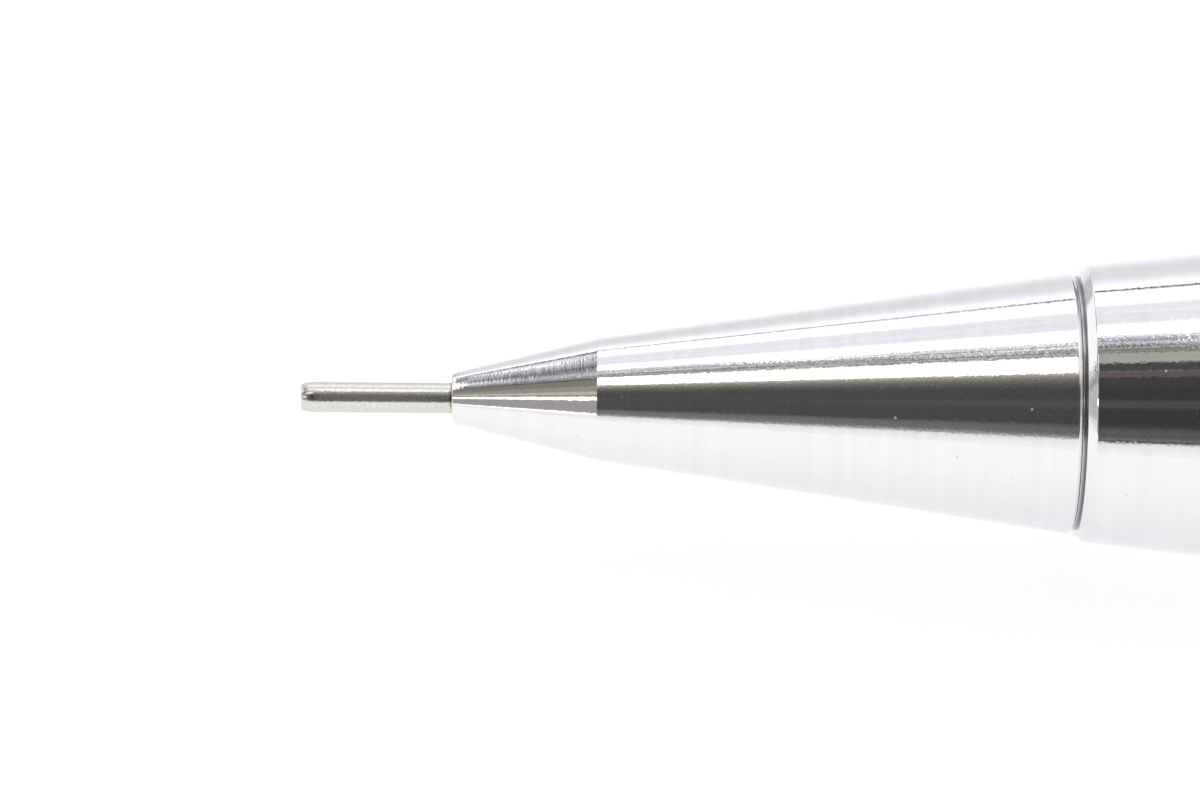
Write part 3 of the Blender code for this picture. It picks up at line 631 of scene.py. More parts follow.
NOSE_SEAM = (NOSE_REAR - SEAM_LIP, NOSE_REAR + SEAM_LIP)
BODY_SEAM = (NOSE_REAR, GRIP_FACE + SEAM_LIP)
CHROME_NOSE = chrome_plate(
    "chrome_nose", TURNING_DEPTH, NOSE_GRAINS, NOSE_BREAK, NOSE_SEAM, stations("nose_cone")[0]
)
# The body has no worn lip: its lip would end at the sleeve's mouth, in front of every plated piece of it
CHROME = chrome_plate("chrome_body", TURNING_DEPTH, BODY_GRAINS, 0, BODY_SEAM, -LIP_LENGTH)
SLEEVE_STEEL = sleeve_steel("sleeve_steel")
NEEDLE_STEEL = drawn_steel("needle_steel", (0.74, 0.73, 0.70), 0.2, 8e-7)
SPRING_STEEL = drawn_steel("spring_wire", (0.60, 0.60, 0.61), 0.28, 1e-6)
NICKEL = drawn_steel("ferrule_nickel", (0.70, 0.69, 0.66), 0.24, 1e-6)
BRASS = turned_brass("turned_brass")
GRAPHITE = dull_surface("graphite", (0.035, 0.035, 0.04), (0.07, 0.07, 0.075), 3.0, 0.42, 18.0, 4e-6)
RUBBER = dull_surface("black_rubber", (0.018, 0.018, 0.018), (0.04, 0.04, 0.04), 2.0, 0.7, 8.0, 6e-6)
TUBE_PLASTIC = dull_surface("tube_plastic", (0.76, 0.77, 0.76), (0.83, 0.84, 0.83), 0.4, 0.38, 5.0, 2e-6)
ENAMEL = dull_surface("drum_enamel", (0.83, 0.82, 0.79), (0.88, 0.87, 0.84), 0.8, 0.4, 9.0, 1.5e-6)
INK = dull_surface("grade_ink", (0.012, 0.012, 0.013), (0.03, 0.03, 0.03), 4.0, 0.5, 20.0, 1e-6)
VINYL = dull_surface("eraser_vinyl", (0.84, 0.84, 0.82), (0.91, 0.91, 0.89), 0.9, 0.72, 10.0, 8e-6)


# Pieces that are plain turnings

# (node, facets, material, body) of every piece that is its solid's section turned smooth
PLAIN_TURNINGS = (
    ("nose_cone", SIDES_CLOSE, CHROME_NOSE, "nose"),
    ("lead_retainer", SIDES_INNER, RUBBER, "nose"),
    ("clutch_ring", SIDES_INNER, BRASS, "clutch_ring"),
    ("clutch_seat", SIDES_INNER, BRASS, "barrel_body"),
    ("chuck_holder", SIDES_INNER, BRASS, "plunger"),
    ("lead_tube", SIDES_INNER, TUBE_PLASTIC, "plunger"),
    ("working_lead", SIDES_WIRE, GRAPHITE, "lead"),
    ("cleaning_needle", SIDES_WIRE, NEEDLE_STEEL, "plunger"),
    ("grade_drum", SIDES_BODY, ENAMEL, "barrel_body"),
    ("barrel", SIDES_BODY, CHROME, "barrel_body"),
    ("tail_bush", SIDES_BODY, CHROME, "barrel_body"),
    ("push_cap", SIDES_BODY, CHROME, "cap"),
    ("eraser_ferrule", SIDES_INNER, NICKEL, "plunger"),
    ("eraser", SIDES_INNER, VINYL, "plunger"),
)


def make_turnings():
    for row in PLAIN_TURNINGS:
        turned(*row)


def make_sleeve():
    """The guide sleeve, with its mouth rounded off."""
    outline = section("lead_sleeve")
    front, rear = stations("lead_sleeve")
    bore = min(radius for _, radius in outline)
    outer = max(radius for _, radius in outline)
    turns = [math.pi / 2 * step / MOUTH_STEPS for step in range(MOUTH_STEPS + 1)]
    mouth = [
        (front - MOUTH_REACH + MOUTH_LENGTH * (1 - math.cos(turn)), outer - MOUTH_DROP * (1 - math.sin(turn)))
        for turn in turns
    ]
    outline = [(front - MOUTH_REACH, bore), *mouth, (rear, outer), (rear, bore)]
    turned("lead_sleeve", SIDES_CLOSE, SLEEVE_STEEL, "nose", outline)


def make_spare_leads():
    for node in [name for name in frame["nodes"] if name.startswith("spare_lead")]:
        low, high = (TO_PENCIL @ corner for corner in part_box(node))
        axis = ((low.y + high.y) / 2, (low.z + high.z) / 2)
        turned(node, SIDES_WIRE, GRAPHITE, "plunger", axis=axis)


# Grip


def make_grip():
    """The grip with its front thread and knurled band as raised metal."""
    outline = section("grip")
    grip_front = stations("grip")[0]
    spigot_radius = max(radius for station, radius in outline if station < NOSE_REAR)
    recess = sorted(point for point in outline if 0 < BODY_RADIUS - point[1] < KNURL_GROOVE)
    knurl_front, knurl_rear = recess[0][0], recess[1][0]
    drop = KNURL_GROOVE - (BODY_RADIUS - recess[0][1]) + KNURL_BACKING / 2
    outline = lowered(outline, knurl_front, knurl_rear, BODY_RADIUS - KNURL_GROOVE, BODY_RADIUS, drop)
    low, high = (spigot_radius * share for share in SPIGOT_BAND)
    outline = lowered(outline, grip_front, GRIP_FACE, low, high, THREAD_DEPTH)
    low, high = (SEAM_FLOOR * share for share in SEAM_FLOOR_BAND)
    outline = lowered(outline, NOSE_REAR, GRIP_FACE, low, high, -SEAM_RAISE)

    def slot_closed(station, radius):
        in_slot = NOSE_REAR < station < GRIP_FACE and radius > SEAM_FLOOR
        return (NOSE_REAR + SEAM_SLOT if in_slot else station, radius)

    outline = [slot_closed(*point) for point in outline]
    turned("grip", SIDES_CLOSE, CHROME, "barrel_body", outline)
    make_knurl(knurl_front, knurl_rear)
    make_thread(grip_front + THREAD_PITCH, NOSE_REAR - THREAD_RUN_OUT, spigot_radius)


def make_knurl(front, rear):
    """A band of flat-topped diamonds between two families of crossing grooves."""
    rows = 2 * round((rear - front) / KNURL_ROW / 2)
    row_step = (rear - front) / rows
    turn = math.tau / KNURL_DIAMONDS
    groove, inner = BODY_RADIUS - KNURL_GROOVE, BODY_RADIUS - KNURL_GROOVE - KNURL_BACKING
    points, faces = [], []

    def place(row, column, radius):
        angle = turn * (column + (row % 2) / 2)
        points.append((front + row * row_step, radius * math.sin(angle), radius * math.cos(angle)))
        return len(points) - 1

    grid = [[place(row, column, groove) for column in range(KNURL_DIAMONDS)] for row in range(rows + 1)]

    def crossing(row, column):
        return grid[row][column % KNURL_DIAMONDS]

    for row in range(rows + 1):
        for column in range(KNURL_DIAMONDS):
            beside = column + row % 2
            left, right = crossing(row, column), crossing(row, column + 1)
            if row == 0:
                faces.append((left, right, crossing(1, beside)))
                continue
            if row == rows:
                faces.append((left, crossing(rows - 1, beside), right))
                continue
            corners = (left, crossing(row - 1, beside), right, crossing(row + 1, beside))
            middle = turn * (column + 0.5 + (row % 2) / 2)
            faces.extend(diamond(points, corners, front + row * row_step, middle))
    back = [[place(row, column, inner) for column in range(KNURL_DIAMONDS)] for row in (0, rows)]
    for column in range(KNURL_DIAMONDS):
        after = (column + 1) % KNURL_DIAMONDS
        faces.append((grid[0][column], grid[0][after], back[0][after], back[0][column]))
        faces.append((grid[rows][column], grid[rows][after], back[1][after], back[1][column]))
        faces.append((back[0][column], back[0][after], back[1][after], back[1][column]))
    mesh = closed_mesh("grip_knurl", points, faces)
    new_piece("grip_knurl", mesh, CHROME, "barrel_body", "chrome_plate", smooth=False)


def diamond(points, corners, station, angle):
    """Four flanks and a flat top over four groove crossings. Adds the top's points."""
    top = []
    for corner in corners:
        along = station + (points[corner][0] - station) * KNURL_TOP
        across = math.atan2(points[corner][1], points[corner][2]) - angle
        across = (across + math.pi) % math.tau - math.pi
        turned_to = angle + across * KNURL_TOP
        points.append((along, BODY_RADIUS * math.sin(turned_to), BODY_RADIUS * math.cos(turned_to)))
        top.append(len(points) - 1)
    flanks = [
        (corners[side], corners[(side + 1) % 4], top[(side + 1) % 4], top[side]) for side in range(4)
    ]
    return [*flanks, tuple(top)]


def make_thread(front, rear, crest):
    """The screw thread that holds the nose: a ridge wound round the spigot."""
    root = crest - THREAD_DEPTH * THREAD_SINK
    half = THREAD_PITCH * THREAD_FOOT
    flat = half / THREAD_FLAT
    count = round((rear - front) / THREAD_PITCH * THREAD_STEPS)

    def ridge(index):
        angle = math.tau * index / THREAD_STEPS
        middle = front + THREAD_PITCH * index / THREAD_STEPS
        fade = min(1.0, THREAD_FADE * index / THREAD_STEPS, THREAD_FADE * (count - index) / THREAD_STEPS)
        top = root + (crest - root) * max(fade, THREAD_LEAST)
        profile = ((middle - half, root), (middle - flat, top), (middle + flat, top), (middle + half, root))
        return [(along, radius * math.sin(angle), radius * math.cos(angle)) for along, radius in profile]

    mesh = swept_mesh("grip_thread", range(count + 1), ridge)
    new_piece("grip_thread", mesh, CHROME, "barrel_body", "chrome_plate", smooth=False)


# Grade ring and drum


def make_grade_ring():
    """The turning ring, with its window cut through."""
    front, rear = stations("grade_ring")
    obj = turned("grade_ring", SIDES_BODY, CHROME, "grade_ring")
    turn = Matrix.Rotation(-GRADE_WINDOW_ANGLE, 4, "X")
    place = Matrix.Translation(((front + rear) / 2, 0, 0)) @ turn @ Matrix.Translation((0, 0, BODY_RADIUS))
    cut_away(obj, box_cutter("window", (*WINDOW_SIZE, BODY_RADIUS), place, WINDOW_CORNER))


def make_grade_marks():
    """Printed lead grades, wrapped round the drum so that one stands in the window."""
    front, rear = stations("grade_drum")
    radius = max(radius for _, radius in section("grade_drum"))
    shown = GRADES.index(GRADE_SHOWN)
    for index, grade in enumerate(GRADES):
        angle = GRADE_WINDOW_ANGLE + math.tau * (index - shown) / len(GRADES)
        mesh = wrapped_text(f"grade_mark_{grade}", grade, (front + rear) / 2, angle, radius)
        new_piece(f"grade_mark_{grade}", mesh, INK, "barrel_body", "drum_enamel", smooth=False)


def wrapped_text(name, words, station, angle, radius):
    """Text as thin solid ink on a cylinder: its lines run along the pencil."""
    curve = bpy.data.curves.new(name, "FONT")
    curve.body = words
    curve.align_x, curve.align_y = "CENTER", "CENTER"
    curve.size = GRADE_HEIGHT / GRADE_CAPITALS
    curve.extrude = GRADE_INK
    helper = bpy.data.objects.new(name, curve)
    bpy.context.scene.collection.objects.link(helper)
    bpy.context.view_layer.update()
    flat = bpy.data.meshes.new_from_object(helper.evaluated_get(bpy.context.evaluated_depsgraph_get()))
    bpy.data.objects.remove(helper)
    bm = bmesh.new()
    bm.from_mesh(flat)
    slices = math.ceil(GRADE_HEIGHT / GRADE_SLICE)
    for cut in range(-slices, slices + 1):
        geometry = bm.verts[:] + bm.edges[:] + bm.faces[:]
        bmesh.ops.bisect_plane(bm, geom=geometry, plane_co=(0, cut * GRADE_SLICE, 0), plane_no=(0, 1, 0))
    for vertex in bm.verts:
        turn = angle + vertex.co.y / radius
        reach = radius + vertex.co.z
        vertex.co = (station + vertex.co.x, reach * math.sin(turn), reach * math.cos(turn))
    bmesh.ops.remove_doubles(bm, verts=bm.verts, dist=GRADE_MERGE)
    bm.to_mesh(flat)
    bm.free()
    return flat


# Clutch


def make_chuck():
    """The collet with its slits."""
    front = stations("chuck")[0]
    obj = turned("chuck", SIDES_INNER, BRASS, "plunger")
    reach = max(radius for _, radius in section("chuck")) * CHUCK_SLIT_REACH
    half = CHUCK_SLIT_WIDTH / 2
    hub = half / math.sin(math.pi / CHUCK_JAWS)
    star = []
    for jaw in range(CHUCK_JAWS):
        angle = math.tau * jaw / CHUCK_JAWS
        along = Vector((math.cos(angle), math.sin(angle)))
        across = Vector((-along.y, along.x))
        between = angle + math.pi / CHUCK_JAWS
        star += [along * reach - across * half, along * reach + across * half]
        star.append(Vector((math.cos(between), math.sin(between))) * hub)
    ends = (front - CHUCK_SLIT_WIDTH, front + CHUCK_SLIT_LENGTH)
    mesh = swept_mesh("slits", ends, lambda index: [(ends[index], *point) for point in star])
    cut_away(obj, cutter("slits", mesh))


def make_spring():
    """The return spring at its rest length. On the real pencil it shortens towards its seat as the button goes in.
    """
    front, rear = stations("return_spring")
    points = [TO_PENCIL @ vertex.co for vertex in frame["nodes"]["return_spring"].data.vertices]
    outer = max(math.hypot(point.y, point.z) for point in points)
    radius, wire = outer - SPRING_WIRE / 2, SPRING_WIRE / 2
    rise = rear - front - SPRING_WIRE
    count = SPRING_TURNS * SPRING_STEPS

    def ring(index):
        angle = math.tau * index / SPRING_STEPS
        middle = front + wire + rise * index / count
        loop = []
        for side in range(SPRING_SIDES):
            turn = math.tau * side / SPRING_SIDES
            reach = radius + wire * math.cos(turn)
            loop.append((middle + wire * math.sin(turn), reach * math.sin(angle), reach * math.cos(angle)))
        return loop

    mesh = swept_mesh("return_spring_finish", range(count + 1), ring)
    obj = new_piece("return_spring_finish", mesh, SPRING_STEEL, "barrel_body", "spring_wire", "return_spring")
    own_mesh(obj)


# Clip


def make_clip():
    """The clip, swept along its bent line, and its band."""
    make_band()
    foot_station = (stations("clip_band")[0] + stations("clip_band")[1]) / 2
    line = clip_line(foot_station - stations("clip")[0])
    profile = clip_profile()

    def loop(index):
        before, after = line[max(index - 1, 0)], line[min(index + 1, len(line) - 1)]
        run = Vector((after[0] - before[0], after[1] - before[1])).normalized()
        along, height, width = line[index]
        points = []
        for across, lift in profile:
            side = across * width / 2
            points.append((foot_station - along + lift * run.y, side, height + lift * run.x))
        return points

    mesh = swept_mesh("clip_finish", line, loop)
    obj = new_piece("clip_finish", mesh, CHROME, "clip", "chrome_plate", "clip")
    mesh.set_sharp_from_angle(angle=SHARP_ANGLE)
    even_normals(obj)


def clip_profile():
    """The blade's section as (share of half the width, lift): flat inside, crowned outside, rounded edges."""
    half = CLIP_THICKNESS / 2
    edge = 2 * CLIP_EDGE / CLIP_WIDTH
    points = []
    for corner in ((-1, -1), (1, -1), (1, 1), (-1, 1)):
        start = math.atan2(corner[1], corner[0]) - math.pi / 4
        for step in range(CLIP_EDGE_STEPS + 1):
            turn = start + math.pi / 2 * step / CLIP_EDGE_STEPS
            share = corner[0] * (1 - edge) + edge * math.cos(turn)
            crown = CLIP_CROWN if corner[1] > 0 else 0
            lift = corner[1] * (half - CLIP_EDGE) - crown + CLIP_EDGE * math.sin(turn)
            points.append((share, lift))
        if corner == (1, 1):
            for step in range(1, 2 * CLIP_CROWN_STEPS):
                share = (1 - edge) * (1 - step / CLIP_CROWN_STEPS)
                points.append((share, half - CLIP_CROWN * share**2))
    return points


def clip_line(length):
    """The blade's centre line as (forward of the foot, height above the axis, width) points."""
    pocket = (TO_PENCIL @ Vector(joint("clip_flex")["pos_m"])).z
    blade = BODY_RADIUS + CLIP_GAP + CLIP_THICKNESS / 2
    pad = BODY_RADIUS + CLIP_PAD_ROOM + CLIP_THICKNESS / 2
    tip = length - CLIP_THICKNESS / 4
    pad_at = tip - CLIP_FLICK_LENGTH
    dip_at = pad_at - CLIP_DIP_LENGTH
    line = [(0, pocket)]
    for step in range(CLIP_STEPS + 1):
        angle = math.pi / 2 * step / CLIP_STEPS
        line.append((CLIP_BEND * (1 - math.cos(angle)), blade - CLIP_BEND * (1 - math.sin(angle))))
    for step in range(1, CLIP_STEPS):
        line.append((CLIP_BEND + (dip_at - CLIP_BEND) * step / CLIP_STEPS, blade))
    for step in range(2 * CLIP_STEPS + 1):
        share = step / (2 * CLIP_STEPS)
        ease = 1 - math.cos(math.pi * share)
        line.append((dip_at + CLIP_DIP_LENGTH * share, blade + (pad - blade) * ease / 2))
    for step in range(1, CLIP_STEPS + 1):
        share = step / CLIP_STEPS
        line.append((pad_at + CLIP_FLICK_LENGTH * share, pad + CLIP_FLICK_RISE * share**2))
    return [(along, height, clip_width(along, pad_at)) for along, height in line]


def clip_width(along, pad_at):
    """The blade narrows evenly towards its pad, and its end is rounded."""
    taper = CLIP_WIDTH + (CLIP_TIP_WIDTH - CLIP_WIDTH) * min(along / pad_at, 1)
    past = max(0, along - pad_at) / CLIP_FLICK_LENGTH
    return taper * math.sqrt(1 - (CLIP_END_NARROWING * past) ** 2)


def make_band():
    """The clip's ring, with the pocket for its foot."""
    front, rear = stations("clip_band")
    obj = turned("clip_band", SIDES_BODY, CHROME, "barrel_body")
    floor = (TO_PENCIL @ Vector(joint("clip_flex")["pos_m"])).z - CLIP_FOOT_ROOM
    size = (CLIP_THICKNESS + 2 * CLIP_FOOT_ROOM, CLIP_WIDTH + 2 * CLIP_FOOT_ROOM, 2 * (BODY_RADIUS - floor))
    cut_away(obj, box_cutter("pocket", size, Matrix.Translation(((front + rear) / 2, 0, BODY_RADIUS))))


# Studio


TABLE_HALF_LENGTH = 1.0
TABLE_FRONT = 26 * MM
TABLE_BACK = 50 * MM
TABLE_PAPER = (0.63, 0.58, 0.48, 1.0)
TABLE_PAPER_SEEN = grey(0.24)
TABLE_GLOW_MIRRORED = (0.585, 0.62, 0.69, 1.0)
TABLE_GLOW_SEEN = grey(0.86)


def make_floor():
    """A white table: it takes the pencil's soft shadow, and shows white to the eye and in the metal."""
    corners = [
        (-TABLE_HALF_LENGTH, -TABLE_FRONT, 0),
        (TABLE_HALF_LENGTH, -TABLE_FRONT, 0),
        (TABLE_HALF_LENGTH, TABLE_BACK, 0),
        (-TABLE_HALF_LENGTH, TABLE_BACK, 0),
    ]
    mesh = bpy.data.meshes.new("table")
    mesh.from_pydata(corners, [], [(0, 1, 2, 3)])
    floor = bpy.data.objects.new("table", mesh)
    bpy.context.scene.collection.objects.link(floor)
    material = bpy.data.materials.new("table_white")
    material.use_nodes = True
    shading = Shading(material.node_tree)
    tree = material.node_tree
    tree.nodes.remove(tree.nodes["Principled BSDF"])
    rays = tree.nodes.new("ShaderNodeLightPath")
    by_eye = rays.outputs["Is Camera Ray"]
    mirrored = shading.math("MAXIMUM", rays.outputs["Is Glossy Ray"], rays.outputs["Is Transmission Ray"])
    paper = shading.mix(by_eye, TABLE_PAPER, TABLE_PAPER_SEEN)
    paper = shading.node("ShaderNodeBsdfDiffuse", Color=paper).outputs[0]
    glow = shading.mix(mirrored, grey(0.0), TABLE_GLOW_MIRRORED)
    glow = shading.mix(by_eye, glow, TABLE_GLOW_SEEN)
    glow = shading.node("ShaderNodeEmission", Color=glow, Strength=1.0)
    both = tree.nodes.new("ShaderNodeAddShader")
    tree.links.new(paper, both.inputs[0])
    tree.links.new(glow.outputs[0], both.inputs[1])
    tree.links.new(both.outputs[0], tree.nodes["Material Output"].inputs["Surface"])
    floor.data.materials.append(material)


# The studio round the pencil, by the angle about its axis: 0 is level towards the camera, 90 overhead and
# 180 level behind. Each stop is (degrees, colour).
WINDOW_LIGHT = (1.40, 1.40, 1.41)
PALE_WALL = (0.885, 0.90, 0.95)
DARK_ROOM = (0.054, 0.055, 0.058)
FRAME_BAR = (0.13, 0.135, 0.15)
ROUND_STUDIO = (
    (-11, (0.98, 0.98, 0.99)),
    (-5, (0.90, 0.90, 0.91)),
    (-2.6, (0.82, 0.82, 0.835)),
    (-1.2, (0.33, 0.33, 0.335)),
    (1, (0.19, 0.185, 0.19)),
    (3, (0.14, 0.13, 0.132)),
    (8, (0.135, 0.118, 0.117)),
    (12, DARK_ROOM),
    (42, (0.058, 0.057, 0.058)),
    (47, (0.095, 0.091, 0.086)),
    (51, (0.155, 0.146, 0.13)),
    (53.5, (0.25, 0.228, 0.195)),
    (57, (0.42, 0.42, 0.41)),
    (76, (0.34, 0.34, 0.345)),
    (80, (0.53, 0.535, 0.55)),
    (85, (0.74, 0.745, 0.76)),
    (87.5, WINDOW_LIGHT),
    (95, WINDOW_LIGHT),
    (98.5, PALE_WALL),
    (116, PALE_WALL),
    (119, WINDOW_LIGHT),
    (133.1, WINDOW_LIGHT),
    (133.7, FRAME_BAR),
    (135.3, FRAME_BAR),
    (135.9, WINDOW_LIGHT),
    (139, (1.20, 1.20, 1.22)),
    (149, (0.89, 0.90, 0.925)),
    (155, (0.80, 0.81, 0.84)),
    (166, (0.78, 0.79, 0.82)),
    (175, (0.84, 0.85, 0.88)),
    (185, (0.97, 0.98, 1.00)),
    (215, (1.05, 1.05, 1.06)),
)
FIRST_ANGLE = -90.0

# Things in the studio, as (least angle, greatest angle, edge), (least slant, greatest slant, edge) and
# colour. The slant tells how far a direction leans along the pencil, negative towards its tip. It is levelled
# so that a straight cone mirrors one slant all round.
LEAST_COSINE = 0.1
CONE = (-0.38, -0.15, 0.01)
CONE_REAR = (-0.24, -0.15, 0.03)
TAPER = (-0.15, -0.075, 0.005)
TUBE = (-0.075, 0.05, 0.005)
TIP = (-0.80, -0.38, 0.02)
TIP_FRONT = (-0.80, -0.64, 0.02)
TIP_EDGE = (-0.80, -0.71, 0.03)
BEYOND_TIP = (-9.0, -0.80, 0.03)
END_WALL = (-1.08, -0.88, 0.03)
FAR_TIP = (-9.0, -1.4, 0.08)
BEYOND_TAIL = (0.38, 0.8, 0.08)
FAR_TAIL = (0.8, 9.0, 0.08)
STUDIO_THINGS = (
    ((56.5, 71.5, 0.6), CONE, (1.40, 1.34, 1.20)),
    ((133.0, 136.0, 0.3), CONE, (0.60, 0.61, 0.66)),
    ((73, 85.5, 0.8), TAPER, (0.37, 0.375, 0.41)),
    ((78.6, 79.6, 0.3), TAPER, (0.80, 0.81, 0.86)),
    ((73, 78.4, 0.5), TAPER, (0.25, 0.245, 0.235)),
    ((71, 73, 0.7), TAPER, (0.21, 0.21, 0.21)),
    ((62.8, 71, 0.7), TAPER, (0.41, 0.40, 0.375)),
    ((56, 62.8, 0.8), TAPER, (0.07, 0.07, 0.075)),
    ((51, 56, 0.8), TAPER, (0.155, 0.12, 0.12)),
    ((44, 51, 0.8), TAPER, (0.065, 0.065, 0.067)),
    ((-1.2, 0.2, 0.3), TAPER, (0.12, 0.115, 0.12)),
    ((26, 32, 2.5), CONE_REAR, (0.070, 0.074, 0.074)),
    ((26, 32, 2.5), TAPER, (0.09, 0.095, 0.095)),
    ((74, 96, 6.0), TUBE, (1.45, 1.44, 1.42)),
    ((6, 60, 6.0), TUBE, (0.32, 0.295, 0.26)),
    ((10, 32, 6.0), TUBE, (0.29, 0.29, 0.29)),
    ((-12, 2, 0.8), TIP, (0.93, 0.93, 0.94)),
    ((2, 27.5, 0.8), TIP, (0.25, 0.235, 0.235)),
    ((34, 69, 0.8), TIP, (0.225, 0.21, 0.187)),
    ((39.5, 45.5, 0.8), TIP, (0.37, 0.35, 0.30)),
    ((27.5, 34.5, 0.7), TIP, (1.40, 1.30, 1.15)),
    ((70.4, 72.4, 0.4), TIP, (0.10, 0.10, 0.10)),
    ((132.4, 135.6, 0.4), TIP, (0.15, 0.155, 0.17)),
    ((76, 106, 3.0), TIP_EDGE, (1.25, 1.25, 1.26)),
    ((86, 99, 4.0), TIP_FRONT, (1.25, 1.25, 1.26)),
    ((110, 129, 4.0), TIP_FRONT, (0.28, 0.29, 0.33)),
    ((0, 150, 6.0), BEYOND_TIP, (1.05, 1.05, 1.06)),
    ((2, 84, 5.0), BEYOND_TIP, (0.60, 0.59, 0.57)),
    ((2, 72, 9.0), END_WALL, (0.36, 0.355, 0.345)),
    ((150, 172, 4.0), BEYOND_TIP, (0.58, 0.59, 0.62)),
    ((150, 178, 3.0), FAR_TIP, (0.13, 0.13, 0.14)),
    ((50, 130, 8.0), BEYOND_TAIL, (1.10, 1.10, 1.12)),
    ((8, 40, 4.0), BEYOND_TAIL, (0.10, 0.10, 0.105)),
    ((146, 172, 4.0), BEYOND_TAIL, (0.14, 0.14, 0.15)),
    ((0, 60, 6.0), FAR_TAIL, (0.28, 0.28, 0.29)),
    ((60, 118, 6.0), FAR_TAIL, (1.10, 1.10, 1.12)),
    ((118, 178, 3.0), FAR_TAIL, (0.20, 0.205, 0.215)),
)

# A shelf of small things beyond the tip, by the same angles, and how finely they are broken up
SHELF = (
    (66, (0.22, 0.22, 0.21)),
    (71, (0.165, 0.165, 0.165)),
    (76, (0.30, 0.305, 0.31)),
    (85, (0.50, 0.505, 0.515)),
    (91, (0.37, 0.375, 0.39)),
    (97, (0.22, 0.225, 0.24)),
    (103, (0.30, 0.31, 0.33)),
    (109, (0.48, 0.49, 0.52)),
    (115, (0.65, 0.66, 0.70)),
    (133, (0.65, 0.66, 0.70)),
)
SHELF_ANGLES = (69, 133.4, 0.4)
SHELF_PER_SLANT = 22.0
SHELF_PER_DEGREE = 0.07
SHELF_CONTRAST = 7.0

# How strongly the mirrored things are grained, by the same angles, and the grain's scale
STUDIO_GRAIN = (
    (-3, 0.0), (2, 0.12), (14, 0.1), (50, 0.1), (57, 0.0), (71, 0.2), (74, 1.4),
    (85, 1.4), (87, 0.0), (98, 0.0), (101, 0.12), (114, 0.12), (117, 0.0),
)
GRAIN_SCALE = 45.0
GRAIN_CONTRAST = 4.0

# Streaks in the dark room, and its level by slant
MURK_ANGLES = (-2, 57, 1.5)
MURK_PER_DEGREE = 0.5
MURK_STREAKS = (0.97, 1.03)
MURK_SLANTS = (-0.30, -0.09)
MURK_LEVELS = (1.45, 0.78)


def make_studio():
    """Soft light from all round, with the darker things that polished metal mirrors."""
    world = bpy.context.scene.world or bpy.data.worlds.new("studio")
    bpy.context.scene.world = world
    world.use_nodes = True
    tree = world.node_tree
    shading = Shading(tree)
    direction = tree.nodes.new("ShaderNodeTexCoord").outputs["Generated"]
    parts = shading.node("ShaderNodeSeparateXYZ", Vector=direction)
    lean, depth, height = parts.outputs["X"], parts.outputs["Y"], parts.outputs["Z"]
    turn = shading.math("ARCTAN2", height, shading.math("MULTIPLY", depth, -1.0))
    lowest = math.radians(FIRST_ANGLE)
    turn = shading.math("WRAP", turn, lowest + math.tau, lowest)
    angle = shading.math("DEGREES", turn)
    half_turn = shading.math("MULTIPLY", shading.math("SUBTRACT", turn, CAMERA_ELEVATION), 0.5)
    levelling = shading.math("MAXIMUM", shading.math("COSINE", half_turn), LEAST_COSINE)
    slant = shading.math("DIVIDE", lean, levelling)
    light = studio_ramp(shading, angle, ROUND_STUDIO)
    things = [(SHELF_ANGLES, TIP, shelf_light(shading, angle, slant))]
    things += [(angles, slants, (*colour, 1.0)) for angles, slants, colour in STUDIO_THINGS]
    for angles, slants, colour in things:
        inside = shading.math("MULTIPLY", shading.window(angle, *angles), shading.window(slant, *slants))
        light = shading.mix(inside, light, colour)
    light = scaled_light(shading, light, grain_level(shading, angle, direction))
    murky = scaled_light(shading, light, murk_level(shading, angle, slant))
    light = shading.mix(shading.window(angle, *MURK_ANGLES), light, murky)
    seen = tree.nodes.new("ShaderNodeLightPath").outputs["Is Camera Ray"]
    light = shading.mix(seen, light, grey(1.0))
    background = tree.nodes["Background"]
    shading.feed(background.inputs["Color"], light)
    background.inputs["Strength"].default_value = 1.0


def studio_ramp(shading, angle, stops):
    """A colour ramp over the angle about the pencil."""
    share = shading.math("DIVIDE", shading.math("SUBTRACT", angle, FIRST_ANGLE), 360.0)
    return shading.ramp(share, [((degrees - FIRST_ANGLE) / 360, colour) for degrees, colour in stops])


def scaled_light(shading, light, level):
    return shading.node("ShaderNodeVectorMath", {"operation": "SCALE"}, Vector=light, Scale=level).outputs[0]


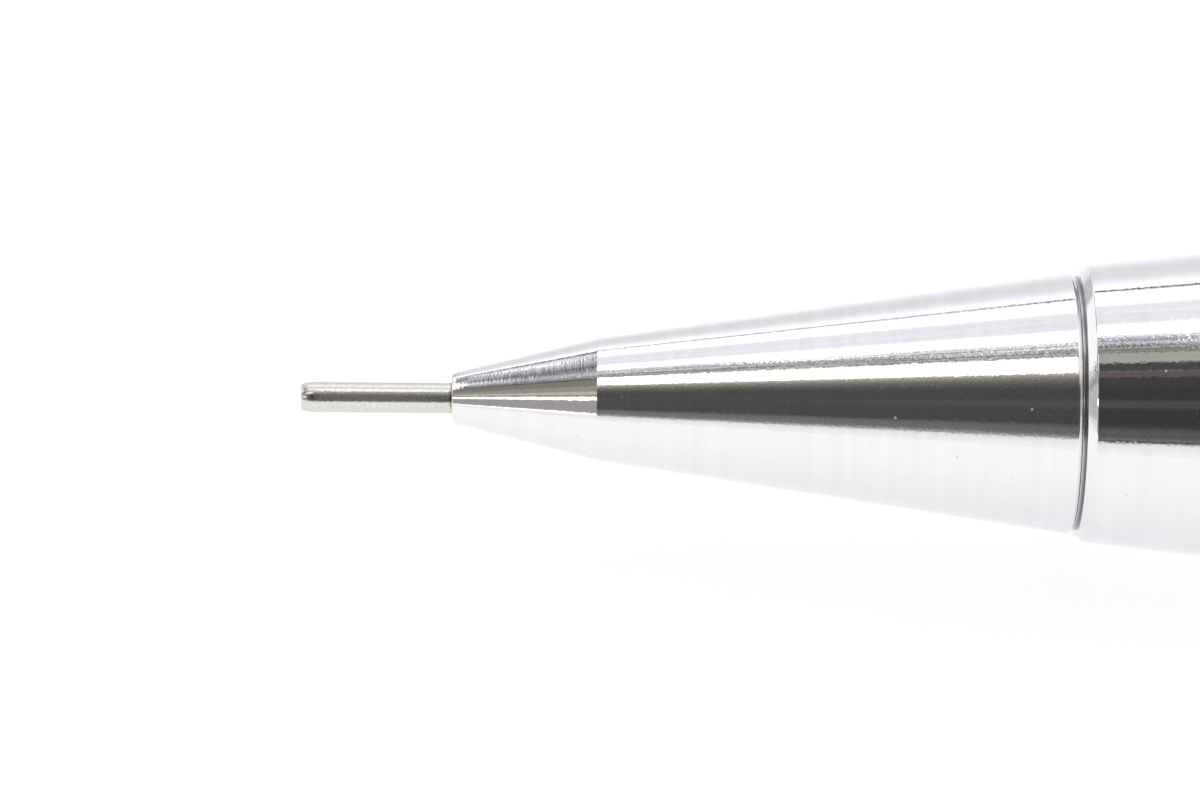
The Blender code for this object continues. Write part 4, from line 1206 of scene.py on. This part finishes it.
def shelf_light(shading, angle, slant):
    """The shelf's colours, broken up along the pencil."""
    across = shading.math("MULTIPLY", slant, SHELF_PER_SLANT)
    around = shading.math("MULTIPLY", angle, SHELF_PER_DEGREE)
    place = shading.node("ShaderNodeCombineXYZ", X=across, Y=around).outputs[0]
    swing = shading.math("SUBTRACT", shading.noise(place, 1.0, 3.0, 0.6), 0.5)
    level = shading.math("EXPONENT", shading.math("MULTIPLY", swing, SHELF_CONTRAST))
    return scaled_light(shading, studio_ramp(shading, angle, SHELF), level)


def grain_level(shading, angle, direction):
    """Fine grain in the mirrored things, about 1."""
    stops = [(degrees, (value, value, value)) for degrees, value in STUDIO_GRAIN]
    amount = studio_ramp(shading, angle, stops)
    swing = shading.math("SUBTRACT", shading.noise(direction, GRAIN_SCALE, 3.0), 0.5)
    swing = shading.math("MULTIPLY", swing, amount)
    return shading.math("EXPONENT", shading.math("MULTIPLY", swing, GRAIN_CONTRAST))


def murk_level(shading, angle, slant):
    """Streaks in the dark room, which is lighter towards the tip."""
    streaks = shading.spread(shading.noise_along(angle, MURK_PER_DEGREE, 3.0), *NOISE_RANGE, *MURK_STREAKS)
    depth = shading.spread(slant, *MURK_SLANTS, *MURK_LEVELS)
    return shading.math("MULTIPLY", streaks, depth)


def make_camera():
    """The photograph's view: square to the table's front, looking down on the nose."""
    data = bpy.data.cameras.new("camera")
    data.lens = CAMERA_LENS_MM
    data.clip_start = CAMERA_NEAR
    camera = bpy.data.objects.new("camera", data)
    bpy.context.scene.collection.objects.link(camera)
    back = Vector((0, -math.cos(CAMERA_ELEVATION), math.sin(CAMERA_ELEVATION)))
    upward = Vector((0, math.sin(CAMERA_ELEVATION), math.cos(CAMERA_ELEVATION)))
    aim = PENCIL @ Vector((CAMERA_AIM_STATION, 0, 0)) - upward * CAMERA_AIM_DROP
    turn = (-back).to_track_quat("-Z", "Y").to_matrix().to_4x4() @ Matrix.Rotation(CAMERA_ROLL, 4, "Z")
    camera.matrix_world = Matrix.Translation(aim + back * CAMERA_DISTANCE) @ turn
    bpy.context.scene.camera = camera


make_turnings()
make_sleeve()
make_spare_leads()
make_grip()
make_grade_ring()
make_grade_marks()
make_chuck()
make_spring()
make_clip()
make_floor()
make_studio()
make_camera()
bpy.context.scene.view_settings.view_transform = "Standard"
